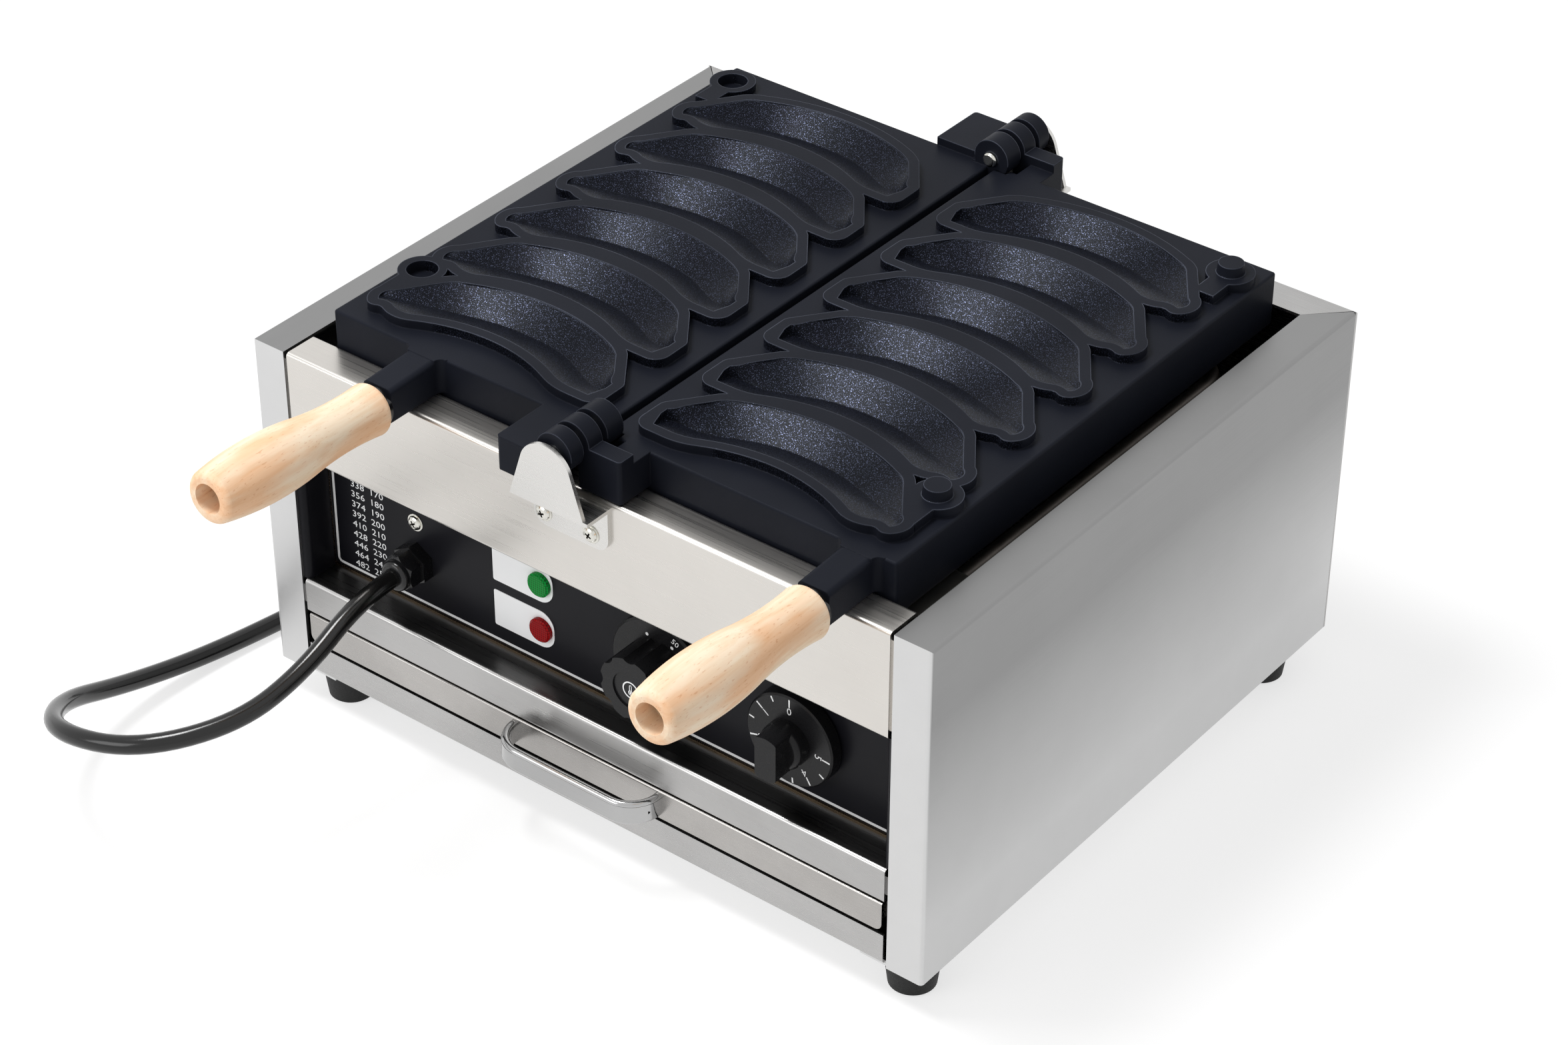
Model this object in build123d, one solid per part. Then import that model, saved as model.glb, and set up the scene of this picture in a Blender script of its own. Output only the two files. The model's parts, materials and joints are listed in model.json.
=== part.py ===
from build123d import *
import math
import os

# Two-plate waffle maker: two cast moulds fold about one axis over a stainless housing.
# Lengths are millimetres. X is to the right, Y to the rear, Z up from the floor.
# While it is built, the housing's front face is y = 0; the whole is centred on Y at the end.

# Housing of folded sheet
HOUSING_WIDTH = 400.0
HOUSING_DEPTH = 346.5
HOUSING_HEIGHT = 189.2
FOOT_HEIGHT = 18.0
SHEET = 1.5
FOLD = 2.0
SIDE_FLANGE = 20.0
REAR_FLANGE = 20.0
BOTTOM_FLANGE = 36.0
MITRE_GAP = 0.4
FRONT_GAP = 2.0
TAB = 11.0
TAB_MARGIN = 3.0

# Front, from the floor of the housing up
BASE_RAIL_HEIGHT = 18.5
RETURN_LIP = 10.0
TRAY_FRONT_HEIGHT = 16.2
TRAY_GAP_BELOW = 2.0
TRAY_GAP_ABOVE = 0.8
LOWER_RAIL_HEIGHT = 19.5
APRON_HEIGHT = 58.2
APRON_LIP = 17.0
PANEL_RECESS = 20.0
PANEL_OVERLAP = 6.0

# Controls, by their place on the panel
CONTROL_RISE = 35.0
GLAND_INSET = 58.6
GLAND_RISE = 26.4
LAMP_X = -40.0
LAMP_SPACING = 26.5
LAMP_RISE = 13.5
LAMP_LENS_RADIUS = 6.5
LAMP_LENS_DEPTH = 3.0
LENS_EDGE = 0.9
LAMP_BODY_RADIUS = 6.0
LAMP_BODY_LENGTH = 24.0
THERMOSTAT_X = 34.5
TIMER_INSET = 63.6
PANEL_SCREW_RISE = 22.6
HOLE_CLEARANCE = 0.2
KNOB_STANDOFF = 1.2
SHAFT_RADIUS = 3.0
SHAFT_FIT = 0.05
BUSH_RADIUS = 4.8
SHAFT_OUT = 15.0

# Thermostat knob
THERMOSTAT_SKIRT_RADIUS = 27.5
THERMOSTAT_SKIRT = 3.3
THERMOSTAT_GRIP_RADIUS = 17.5
THERMOSTAT_KNOB_LENGTH = 23.3
SCALLOPS = 8
SCALLOP_RADIUS = 5.0
SCALLOP_DEPTH = 1.6
CAP_RADIUS = 10.0
CAP_RECESS = 0.8

# Timer knob
TIMER_SKIRT_RADIUS = 24.5
TIMER_SKIRT = 6.8
TIMER_HUB_RADIUS = 11.8
TIMER_HUB_DEPTH = 8.0
TIMER_BAR_WIDTH = 12.0
TIMER_KNOB_LENGTH = 24.3

# Cable gland
GLAND_FLATS = 19.0
GLAND_HEX_LENGTH = 6.2
GLAND_THREAD_RADIUS = 7.8
GLAND_THREAD_LENGTH = 9.0
GLAND_NUT_FLATS = 17.0
GLAND_NUT_LENGTH = 8.4
GLAND_NUT_EDGE = 1.2
GLAND_NOSE_RADIUS = 8.2
GLAND_NOSE_LENGTH = 3.8
GLAND_NOSE_ROUND = 2.4
LOCKNUT_LENGTH = 5.0
CORD_FIT = 0.1

# Crumb tray
TRAY_SIDE_GAP = 1.2
TRAY_INSET = 3.5
TRAY_REAR_GAP = 31.5
TRAY_SHEET = 1.2
TRAY_FLOOR_RISE = 1.5
TRAY_CORNER = 4.0
TRAY_LIP = 8.0
RUNNER_START = 12.0
RUNNER_END_GAP = 20.0
RUNNER_SHELF = 12.0
RUNNER_GUARD = 10.0
RUNNER_CLEARANCE = 0.2
RUNNER_SIDE_CLEARANCE = 1.2
TRAY_HANDLE_X = 2.0
TRAY_HANDLE_SPACING = 89.0
TRAY_HANDLE_REACH = 16.0
TRAY_HANDLE_TALL = 13.0
TRAY_HANDLE_THICK = 4.5

# Cast mould plates
AXIS_RISE = 23.8
PARTING_GAP = 0.3
RIB_HEIGHT = 4.85
PLATE_GAP = 4.0
PLATE_SIDE_GAP = 14.5
PLATE_FRONT_GAP = 1.0
PLATE_HEIGHT = 28.0
PLATE_CORNER = 1.5
WEB = 14.0
SKIRT_WALL = 6.0
BACK_RIB = 5.0
POCKET_CORNER = 8.0
BACK_COLUMNS = 2
BACK_ROWS = 3

# Banana-shaped hollows; outline and crease are drawn about the hollow's middle at full size
HOLLOWS = 6
HOLLOW_DRAWN_LENGTH = 136.0
HOLLOW_INNER_MARGIN = 14.3
HOLLOW_OUTER_MARGIN = 13.2
HOLLOW_END_MARGIN = 39.0
HOLLOW_BLUNT_END = ((-67.9, -23.1), (-67.8, -11.6), (-53.3, 7.9))
HOLLOW_SHOULDER = ((-53.3, 7.9), (-48.8, 11.2), (-44.3, 13.4))
HOLLOW_BACK = ((-44.3, 13.4), (-3.3, 21.8), (43.7, 11.4))
HOLLOW_BEND = ((43.7, 11.4), (48.0, 9.2), (51.7, 4.9))
HOLLOW_SLANT = ((51.7, 4.9), (64.7, -13.6))
HOLLOW_NOSE = ((64.7, -13.6), (68.0, -18.1), (65.7, -24.1))
HOLLOW_BUMP = ((65.7, -24.1), (60.7, -22.9), (55.7, -24.3))
HOLLOW_DIP = ((55.7, -24.3), (49.2, -25.5), (42.7, -23.6))
HOLLOW_BELLY = ((42.7, -23.6), (0.7, -13.4), (-40.3, -22.0))
HOLLOW_HEEL = ((-40.3, -22.0), (-47.3, -24.6), (-54.3, -25.6))
HOLLOW_FOOT = ((-54.3, -25.6), (-65.3, -25.6))
HOLLOW_CORNER = ((-65.3, -25.6), (-67.3, -24.8), (-67.9, -23.1))
HOLLOW_SECTIONS = (
    ((-69.4, -12.0), (-69.0, -15.8), (-64.5, -27.0), 5.2),
    ((-60.4, 0.9), (-54.8, -9.5), (-47.6, -26.5), 7.8),
    ((-50.0, 12.1), (-42.6, -4.0), (-34.7, -21.6), 9.4),
    ((-29.3, 19.6), (-25.0, 3.9), (-19.4, -16.7), 10.0),
    ((-3.0, 22.9), (-3.0, 6.6), (-3.0, -14.6), 10.0),
    ((23.1, 20.0), (19.4, 4.3), (14.7, -15.8), 9.5),
    ((46.0, 12.2), (39.2, -3.2), (31.8, -20.0), 7.5),
    ((58.8, -3.0), (53.8, -10.8), (45.2, -26.4), 4.6),
    ((67.6, -14.6), (65.0, -17.9), (61.3, -24.6), 2.1),
    ((72.0, -17.0), (69.6, -20.6), (66.6, -26.6), 1.2),
)
HOLLOW_OVERCUT = 0.1
RIM_WIDTH = 5.5

# Locating pins and their sockets
LOCATOR_INSET = 13.5
LOCATOR_FRONT = 47.5
LOCATOR_REAR = 20.0
LOCATOR_RADIUS = 7.0
LOCATOR_HEIGHT = 5.2
LOCATOR_TAPER = 8.0
LOCATOR_BOSS = 12.0
LOCATOR_NECK = 11.0
SOCKET_PLAY = 0.75
SOCKET_EXTRA_DEPTH = 0.8

# Hinge
HINGE_PIN_RADIUS = 4.0
HINGE_FIT = 0.05
HINGE_PIN_PROUD = 2.5
KNUCKLE_RADIUS = 10.25
KNUCKLE_REACH = 11.6
KNUCKLE_1 = 8.5
KNUCKLE_2 = 9.5
KNUCKLE_3 = 11.0
KNUCKLE_SPACE = 3.5
KNUCKLE_CLEARANCE = 0.9
LUG_FOOT = 14.0
HINGE_BLOCK_INNER = 6.0
HINGE_BLOCK_OUTER = 33.0
HINGE_BLOCK_SETBACK = 0.6
REAR_BLOCK_RISE = 4.5
HINGE_BLOCK_LIFT = 0.8
ARM_INNER = 3.6
ARM_OUTER = 28.0
ARM_WEB_INNER = 14.0
CAST_EDGE = 2.0

# Hinge brackets
BRACKET_SHEET = 2.0
BRACKET_WIDTH = 44.0
BRACKET_FLANGE = 24.0
BRACKET_SHELF = 15.8
BRACKET_DOME = 15.0
BRACKET_CORNER = 7.0
EAR_OVER_AXIS = 5.5
EAR_SHIFT = -2.0
BRACKET_SCREWS = ((-16.0, 7.0), (12.0, 7.0), (-2.0, 14.0))
SCREW_RADIUS = 2.0
SCREW_HEAD_RADIUS = 4.0
SCREW_HEAD_HEIGHT = 2.4
SCREW_LENGTH = 8.0

# Handles
LEFT_HANDLE_INSET = 59.0
RIGHT_HANDLE_INSET = 19.3
STUB_WIDTH = 17.0
STUB_COVE = 4.0
STUB_EDGE = 2.5
STUB_CLEARANCE = 0.4
STUB_DROP = 1.4
STUB_REACH = 13.0
HANDLE_TILT = 3.5
HANDLE_RISE = 6.7
ROD_RADIUS = 4.0
ROD_EMBED = 20.0
FERRULE_RADIUS = 10.0
FERRULE_LENGTH = 3.0
GRIP_LENGTH = 106.0
GRIP_START_RADIUS = 13.0
GRIP_WAIST_RADIUS = 12.25
GRIP_BULGE_RADIUS = 15.8
GRIP_WAIST_SHARE = 0.24
GRIP_TURNING_SHARE = 0.44
GRIP_BULGE_SHARE = 0.72
GRIP_END_RADIUS = 12.0
GRIP_BORE_RADIUS = 7.5
GRIP_BORE_DEPTH = 18.0
GRIP_NUT_FLATS = 12.5
GRIP_NUT_HEIGHT = 6.5
ROD_PAST_NUT = 3.0

# Inside
SHIELD_SETBACK = 58.0
SHIELD_SHEET = 1.2
SHIELD_DROP = 21.2
SHIELD_FLOOR = 62.0
BAFFLE_BOTTOM = 60.0
ELEMENT_RADIUS = 4.25
ELEMENT_DROP = 31.2
ELEMENT_FIRST_X = 24.0
ELEMENT_SIDE_GAP = 25.5
ELEMENT_RUNS = 4
ELEMENT_SETBACK = 32.0
ELEMENT_REAR_GAP = 41.5
ELEMENT_BEND_SHARE = 0.46
ELEMENT_TERMINAL = 14.0
SUPPORT_SETBACK = 52.0
SUPPORT_REAR_GAP = 76.5
SUPPORT_DEPTH = 16.0
SUPPORT_ABOVE = 2.0
SENSOR_X = 46.0
SENSOR_RISE = 11.0
SENSOR_RADIUS = 3.0
SENSOR_LENGTH = 150.0
CAPILLARY_RADIUS = 1.0
CAPILLARY_DROP = 12.0
CAPILLARY_BEND = 6.0
CAPILLARY_STRAIGHT = 15.0
CAPILLARY_SLOPE = 12.0
CONTROL_BODY = 36.0
CONTROL_BODY_DEPTH = 26.0
TERMINAL_X = -60.0
TERMINAL_SIZE = (46.0, 22.0, 18.0)
TERMINAL_SLOT = 2.0
TERMINAL_SLOT_DEPTH = 7.0
EARTH_INSET = 48.5
EARTH_SETBACK = 24.0
EARTH_RADIUS = 3.0
EARTH_HEIGHT = 18.0
EARTH_NUT_FLATS = 10.0
EARTH_NUT_HEIGHT = 5.0
LEAD_INSIDE = 22.0

# Feet
FOOT_TOP_RADIUS = 13.75
FOOT_BOTTOM_RADIUS = 11.5
FOOT_INSET_LEFT = 31.0
FOOT_INSET_RIGHT = 17.5
FOOT_INSET_FRONT = 17.5
FOOT_INSET_REAR = 31.5
FOOT_WELL_RADIUS = 5.5
FOOT_WELL_DEPTH = 9.0
FOOT_EDGE = 1.0
FOOT_SCREW_RADIUS = 2.4
FOOT_SCREW_HEAD = 4.5
FOOT_SCREW_HEAD_HEIGHT = 3.0
FOOT_SCREW_ABOVE = 5.0

# Vents in the base, under the controls
VENT_COUNT = 8
VENT_LENGTH = 30.0
VENT_WIDTH = 5.0
VENT_PITCH = 16.0

# Mains cord
CORD_DIAMETER = 9.5
CORD_SIDES = 10
CORD_ROUTE = (
    (-119.4, -22.4, 101.4),
    (-119.0, -62.0, 83.0),
    (-122.0, -104.0, 76.0),
    (-151.0, -144.0, 71.0),
    (-201.0, -150.0, 62.0),
    (-237.0, -115.0, 41.0),
    (-245.0, -65.0, 17.0),
    (-241.0, -12.0, 6.0),
    (-231.0, 48.0, 4.9),
    (-222.0, 111.0, 5.0),
)
COIL_APPROACH = 60.0
COIL_CENTRE_X = -276.0
COIL_CENTRE_Y = 235.0
COIL_HEIGHT = 6.2
COIL_OUTER_RADIUS = 59.6
COIL_EXIT_RADIUS = 84.0
COIL_GAP = 0.6
COIL_LOWER_TURNS = 1.5
COIL_TURNS = 3.0
TIE_WIDTH = 12.0
TIE_THICKNESS = 1.0
TIE_CLEARANCE = 0.8
PLUG_RADIUS = 17.5
PLUG_BODY_LENGTH = 38.0
PLUG_RELIEF_LENGTH = 22.0
PLUG_PIN_RADIUS = 2.4
PLUG_PIN_LENGTH = 19.0
PLUG_PIN_SPACING = 19.0

# Places worked out from the sizes above
HALF = HOUSING_WIDTH / 2
WALL_IN = HALF - SHEET
FLOOR = FOOT_HEIGHT
TOP = FOOT_HEIGHT + HOUSING_HEIGHT
TOP_IN = TOP - SHEET
REAR_IN = HOUSING_DEPTH - SHEET
MIDDLE = HOUSING_DEPTH / 2
FLANGE_IN = HALF - SIDE_FLANGE
FRONT_HALF = FLANGE_IN - FRONT_GAP
BASE_FLOOR = FLOOR + SHEET
BASE_TOP = BASE_FLOOR + SHEET
BASE_RAIL_TOP = FLOOR + BASE_RAIL_HEIGHT
TRAY_BOTTOM = BASE_RAIL_TOP + TRAY_GAP_BELOW
TRAY_TOP = TRAY_BOTTOM + TRAY_FRONT_HEIGHT
RAIL_BOTTOM = TRAY_TOP + TRAY_GAP_ABOVE
LEDGE = RAIL_BOTTOM + LOWER_RAIL_HEIGHT
CONTROL_AXIS_HEIGHT = LEDGE + CONTROL_RISE
APRON_BOTTOM = TOP - APRON_HEIGHT
GLAND_X = GLAND_INSET - FRONT_HALF
TIMER_X = FRONT_HALF - TIMER_INSET
GLAND_HEIGHT = LEDGE + GLAND_RISE
PANEL_SCREW_HEIGHT = GLAND_HEIGHT + PANEL_SCREW_RISE
PANEL_BACK = PANEL_RECESS + SHEET
PANEL_TOP = TOP - APRON_LIP + PANEL_OVERLAP
SHIELD_Y = PANEL_RECESS + SHIELD_SETBACK
SHIELD_TOP = TOP - SHIELD_DROP
TRAY_FRONT_WIDTH = 2 * (FRONT_HALF - TRAY_SIDE_GAP)
TRAY_WIDTH = TRAY_FRONT_WIDTH - 2 * TRAY_INSET
TRAY_LENGTH = HOUSING_DEPTH - TRAY_REAR_GAP
AXIS_HEIGHT = TOP + AXIS_RISE
HANDLE_AXIS_HEIGHT = TOP + HANDLE_RISE
BASE_LEVEL = AXIS_HEIGHT - PARTING_GAP / 2 - RIB_HEIGHT
RIB_TOP = BASE_LEVEL + RIB_HEIGHT
PLATE_INNER = PLATE_GAP / 2
PLATE_OUTER = FLANGE_IN - PLATE_SIDE_GAP
PLATE_WIDTH = PLATE_OUTER - PLATE_INNER
PLATE_FRONT = PANEL_RECESS + PLATE_FRONT_GAP
PLATE_LENGTH = HOUSING_DEPTH - 2 * PLATE_FRONT
PLATE_REAR = PLATE_FRONT + PLATE_LENGTH
PLATE_BOTTOM = BASE_LEVEL - PLATE_HEIGHT
HOLLOW_LENGTH = PLATE_WIDTH - HOLLOW_INNER_MARGIN - HOLLOW_OUTER_MARGIN
BANK_X = PLATE_INNER + HOLLOW_INNER_MARGIN + HOLLOW_LENGTH / 2
HOLLOW_PITCH = (PLATE_LENGTH - 2 * HOLLOW_END_MARGIN) / (HOLLOWS - 1)
PLATE_MIDDLE = (PLATE_FRONT + PLATE_REAR) / 2
TRAY_PAN_BOTTOM = TRAY_BOTTOM + TRAY_FLOOR_RISE
ELEMENT_HEIGHT = TOP - ELEMENT_DROP
ELEMENT_PITCH = (FLANGE_IN - ELEMENT_SIDE_GAP - ELEMENT_FIRST_X) / (ELEMENT_RUNS - 1)
ELEMENT_FRONT = SHIELD_Y + ELEMENT_SETBACK
ELEMENT_REAR = HOUSING_DEPTH - ELEMENT_REAR_GAP
SUPPORT_FRONT = SHIELD_Y + SUPPORT_SETBACK
SUPPORT_REAR = HOUSING_DEPTH - SUPPORT_REAR_GAP
SENSOR_HEIGHT = ELEMENT_HEIGHT + SENSOR_RISE
CAPILLARY_HEIGHT = SENSOR_HEIGHT - CAPILLARY_DROP


def block(x0, x1, y0, y1, z0, z1):
    """Box between two corners."""
    middle = Pos((x0 + x1) / 2, (y0 + y1) / 2, (z0 + z1) / 2)
    return middle * Box(abs(x1 - x0), abs(y1 - y0), abs(z1 - z0))


def along_y(x, z, radius, y0, y1):
    """Cylinder about a line parallel to Y."""
    return Pos(x, (y0 + y1) / 2, z) * Rot(90, 0, 0) * Cylinder(radius, y1 - y0)


def edges_at(shape, axis, **place):
    """Edges parallel to an axis whose middles lie at the given coordinates."""
    found = shape.edges().filter_by(axis)
    for letter, value in place.items():
        found = found.filter_by(lambda edge: abs(getattr(edge.center(), letter.upper()) - value) < 0.01)
    return found


def folded(points, width_from, width_to, thickness=SHEET, plane=Plane.YZ):
    """Sheet strip folded along points of its outer face, which lies left of the material."""
    path = FilletPolyline(*points, radius=FOLD)
    section = make_face(offset(path, amount=thickness, side=Side.RIGHT, closed=True))
    return extrude(plane.offset(width_from) * section, amount=width_to - width_from)


def hexagon_bar(flats, y0, y1, x, z):
    """Hexagonal bar along Y, a corner on top, with its flats apart as given."""
    section = Plane.XZ * RegularPolygon(flats / 2, 6, major_radius=False, rotation=30)
    return Pos(x, y1, z) * extrude(section, amount=y1 - y0)


def group(shapes):
    """One sub-part made of several separate solids."""
    return Compound([solid for shape in shapes for solid in shape.solids()])


def mirrored_x(shape):
    return mirror(shape, about=Plane.YZ)


def mirrored_y(shape):
    """The same piece at the rear, mirrored about the plates' middle."""
    return mirror(shape, about=Plane.XZ.offset(-PLATE_MIDDLE))


# Housing

def side_panel(foot_inset):
    """Right side: wall, front, top and bottom flanges, with the rear top corner mitred."""
    outer = block(FLANGE_IN, HALF, 0, REAR_IN, FLOOR, TOP)
    folds = edges_at(outer, Axis.Z, x=HALF, y=0) + edges_at(outer, Axis.Y, x=HALF, z=TOP)
    outer = fillet(folds, FOLD)
    hollow = block(FLANGE_IN - 1, WALL_IN, SHEET, REAR_IN + 1, BASE_FLOOR, TOP_IN)
    panel = outer - hollow
    panel += block(HALF - BOTTOM_FLANGE, FLANGE_IN + 1, SHEET, REAR_IN, FLOOR, BASE_FLOOR)
    corner = Polyline(
        (FLANGE_IN - MITRE_GAP, HOUSING_DEPTH - REAR_FLANGE - MITRE_GAP),
        (HALF + 1, HOUSING_DEPTH + 1 - 2 * MITRE_GAP),
        (FLANGE_IN - MITRE_GAP, HOUSING_DEPTH + 1 - 2 * MITRE_GAP),
        close=True,
    )
    panel -= Pos(0, 0, TOP_IN) * extrude(make_face(corner), amount=2 * SHEET)
    for y in foot_rows():
        panel -= Pos(HALF - foot_inset, y, FLOOR) * Cylinder(FOOT_SCREW_RADIUS + HOLE_CLEARANCE, 3 * SHEET)
    return panel


def rear_panel():
    outer = block(-HALF, HALF, HOUSING_DEPTH - REAR_FLANGE, HOUSING_DEPTH, FLOOR, TOP)
    folds = edges_at(outer, Axis.X, y=HOUSING_DEPTH, z=TOP)
    outer = fillet(folds, FOLD)
    hollow = block(-HALF - 1, HALF + 1, HOUSING_DEPTH - REAR_FLANGE - 1, REAR_IN, FLOOR - 1, TOP_IN)
    panel = outer - hollow
    for side in (1, -1):
        corner = Polyline(
            (side * FLANGE_IN, HOUSING_DEPTH - REAR_FLANGE),
            (side * (HALF + 1), HOUSING_DEPTH - REAR_FLANGE),
            (side * (HALF + 1), REAR_IN),
            (side * (HALF - SHEET), REAR_IN),
            close=True,
        )
        panel -= Pos(0, 0, TOP_IN - SHEET) * extrude(make_face(corner), amount=4 * SHEET)
    for x, z in bracket_screw_places():
        panel -= along_y(x, z, SCREW_RADIUS + HOLE_CLEARANCE, REAR_IN - 1, HOUSING_DEPTH + 1)
    return panel


def foot_rows():
    return (FOOT_INSET_FRONT, HOUSING_DEPTH - FOOT_INSET_REAR)


def foot_columns():
    return (FOOT_INSET_LEFT - HALF, HALF - FOOT_INSET_RIGHT)


def base_plate():
    """Floor of the housing; its front edge is folded up as the bottom rail."""
    floor = block(-WALL_IN, WALL_IN, SHEET, REAR_IN, BASE_FLOOR, BASE_TOP)
    rail = folded(
        ((BOTTOM_FLANGE, BASE_FLOOR), (0, BASE_FLOOR), (0, BASE_RAIL_TOP)),
        -FRONT_HALF, FRONT_HALF,
    )
    plate = floor + rail
    for x in foot_columns():
        for y in foot_rows():
            hole = Cylinder(FOOT_SCREW_RADIUS + HOLE_CLEARANCE, 3 * SHEET)
            plate -= Pos(x, y, BASE_FLOOR) * hole
    slot = extrude(SlotOverall(VENT_LENGTH, VENT_WIDTH, rotation=90), amount=3 * SHEET)
    for index in range(VENT_COUNT):
        x = (index - (VENT_COUNT - 1) / 2) * VENT_PITCH
        plate -= Pos(x, SHIELD_Y, BASE_FLOOR - SHEET) * slot
    return plate


def front_apron():
    """Upper front: face, flange under the handle stubs and a lip down onto the control panel."""
    apron = folded(
        (
            (RETURN_LIP, APRON_BOTTOM), (0, APRON_BOTTOM), (0, TOP),
            (PANEL_RECESS, TOP), (PANEL_RECESS, TOP - APRON_LIP),
        ),
        -FRONT_HALF, FRONT_HALF,
    )
    apron += front_tabs(APRON_BOTTOM, TOP)
    for x, z in bracket_screw_places():
        apron -= along_y(x, z, SCREW_RADIUS + HOLE_CLEARANCE, -1, SHEET + 1)
    return apron


def front_tabs(z0, z1):
    """Pair of tabs that fasten a front piece to the backs of the side panels' flanges."""
    tab = block(
        FLANGE_IN - TAB, FLANGE_IN + TAB, SHEET, 2 * SHEET, z0 + SHEET + TAB_MARGIN, z1 - SHEET - TAB_MARGIN
    )
    return tab + mirrored_x(tab)


def lower_rail():
    """Rail between tray and controls; its top is the floor of the control recess."""
    rail = folded(
        ((RETURN_LIP, RAIL_BOTTOM), (0, RAIL_BOTTOM), (0, LEDGE), (PANEL_BACK, LEDGE)),
        -FRONT_HALF, FRONT_HALF,
    )
    return rail + front_tabs(RAIL_BOTTOM, LEDGE)


def control_panel():
    """Recessed panel with end walls that fold out behind the side panels' flanges."""
    end = FRONT_HALF - SHEET / 2
    tabs_at = FLANGE_IN + TAB
    deep = 2 * SHEET
    panel = folded(
        ((-tabs_at, deep), (-end, deep), (-end, PANEL_BACK), (end, PANEL_BACK), (end, deep), (tabs_at, deep)),
        LEDGE, APRON_BOTTOM, plane=Plane.XY,
    )
    panel += block(-end + FOLD, end - FOLD, PANEL_RECESS, PANEL_BACK, APRON_BOTTOM - 1, PANEL_TOP)
    holes = [
        (GLAND_X, GLAND_HEIGHT, GLAND_THREAD_RADIUS),
        (THERMOSTAT_X, CONTROL_AXIS_HEIGHT, BUSH_RADIUS),
        (TIMER_X, CONTROL_AXIS_HEIGHT, BUSH_RADIUS),
        (GLAND_X, PANEL_SCREW_HEIGHT, SCREW_RADIUS),
    ]
    holes += [(LAMP_X, height, LAMP_BODY_RADIUS) for height in lamp_heights()]
    for x, z, radius in holes:
        panel -= along_y(x, z, radius + HOLE_CLEARANCE, PANEL_RECESS - 1, PANEL_BACK + 1)
    return panel


def lamp_heights():
    upper = CONTROL_AXIS_HEIGHT + LAMP_RISE
    return (upper, upper - LAMP_SPACING)


def panel_screw():
    return pan_screw(GLAND_X, PANEL_SCREW_HEIGHT, PANEL_RECESS)


def pan_screw(x, z, seat_y):
    """Pan-head screw along Y; its head sits in front of the face at seat_y."""
    head = along_y(x, z, SCREW_HEAD_RADIUS, seat_y - SCREW_HEAD_HEIGHT, seat_y)
    rim = head.edges().filter_by(GeomType.CIRCLE).sort_by(Axis.Y)[0]
    head = chamfer(rim, SCREW_HEAD_HEIGHT * 0.5)
    return head + along_y(x, z, SCREW_RADIUS, seat_y - 1, seat_y + SCREW_LENGTH)


# Inner sheets and heating

def heat_shield():
    """Channel behind the controls; holes let the elements' ends and the sensor's tube through."""
    shield = folded(
        (
            (PANEL_BACK, SHIELD_FLOOR), (SHIELD_Y, SHIELD_FLOOR),
            (SHIELD_Y, SHIELD_TOP), (PANEL_BACK, SHIELD_TOP),
        ),
        -WALL_IN, WALL_IN, thickness=-SHIELD_SHEET,
    )
    for x in element_ends():
        shield -= along_y(x, ELEMENT_HEIGHT, ELEMENT_RADIUS + HOLE_CLEARANCE, SHIELD_Y - 5, SHIELD_Y + 5)
    shield -= along_y(SENSOR_X, CAPILLARY_HEIGHT, CAPILLARY_RADIUS + HOLE_CLEARANCE, SHIELD_Y - 5, SHIELD_Y + 5)
    return shield


def element_ends():
    last = ELEMENT_FIRST_X + (ELEMENT_RUNS - 1) * ELEMENT_PITCH
    return (ELEMENT_FIRST_X, last, -ELEMENT_FIRST_X, -last)


def heat_baffle():
    """Inner wall under the right top flange."""
    front = SHIELD_Y + SHIELD_SHEET
    return block(FLANGE_IN, FLANGE_IN + SHIELD_SHEET, front, REAR_IN, BAFFLE_BOTTOM, TOP_IN)


def element():
    """Tubular element: four runs joined by half turns, its ends inside the control bay."""
    start = SHIELD_Y - ELEMENT_TERMINAL
    points = []
    for run in range(ELEMENT_RUNS):
        x = ELEMENT_FIRST_X + run * ELEMENT_PITCH
        near = start if run in (0, ELEMENT_RUNS - 1) else ELEMENT_FRONT
        ends = (near, ELEMENT_REAR) if run % 2 == 0 else (ELEMENT_REAR, near)
        points += [(x, y, ELEMENT_HEIGHT) for y in ends]
    path = FilletPolyline(*points, radius=ELEMENT_PITCH * ELEMENT_BEND_SHARE)
    section = Plane(origin=points[0], z_dir=(0, 1, 0)) * Circle(ELEMENT_RADIUS)
    return sweep(section, path=path)


def element_supports():
    """Two saddled bars from baffle to baffle that carry both elements."""
    bars = []
    top = ELEMENT_HEIGHT + SUPPORT_ABOVE
    for y in (SUPPORT_FRONT, SUPPORT_REAR):
        bar = block(-FLANGE_IN, FLANGE_IN, y, y + SHEET, ELEMENT_HEIGHT - SUPPORT_DEPTH, top)
        for run in range(ELEMENT_RUNS):
            for side in (1, -1):
                x = side * (ELEMENT_FIRST_X + run * ELEMENT_PITCH)
                seat = ELEMENT_RADIUS + CORD_FIT
                bar -= along_y(x, ELEMENT_HEIGHT, seat, y - 1, y + SHEET + 1)
                bar -= block(x - seat, x + seat, y - 1, y + SHEET + 1, ELEMENT_HEIGHT, top + 1)
        bars.append(bar)
    return group(bars)


def sensor():
    """Sensing bulb between two runs of the right element."""
    return along_y(SENSOR_X, SENSOR_HEIGHT, SENSOR_RADIUS, SUPPORT_FRONT, SUPPORT_FRONT + SENSOR_LENGTH)


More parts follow.
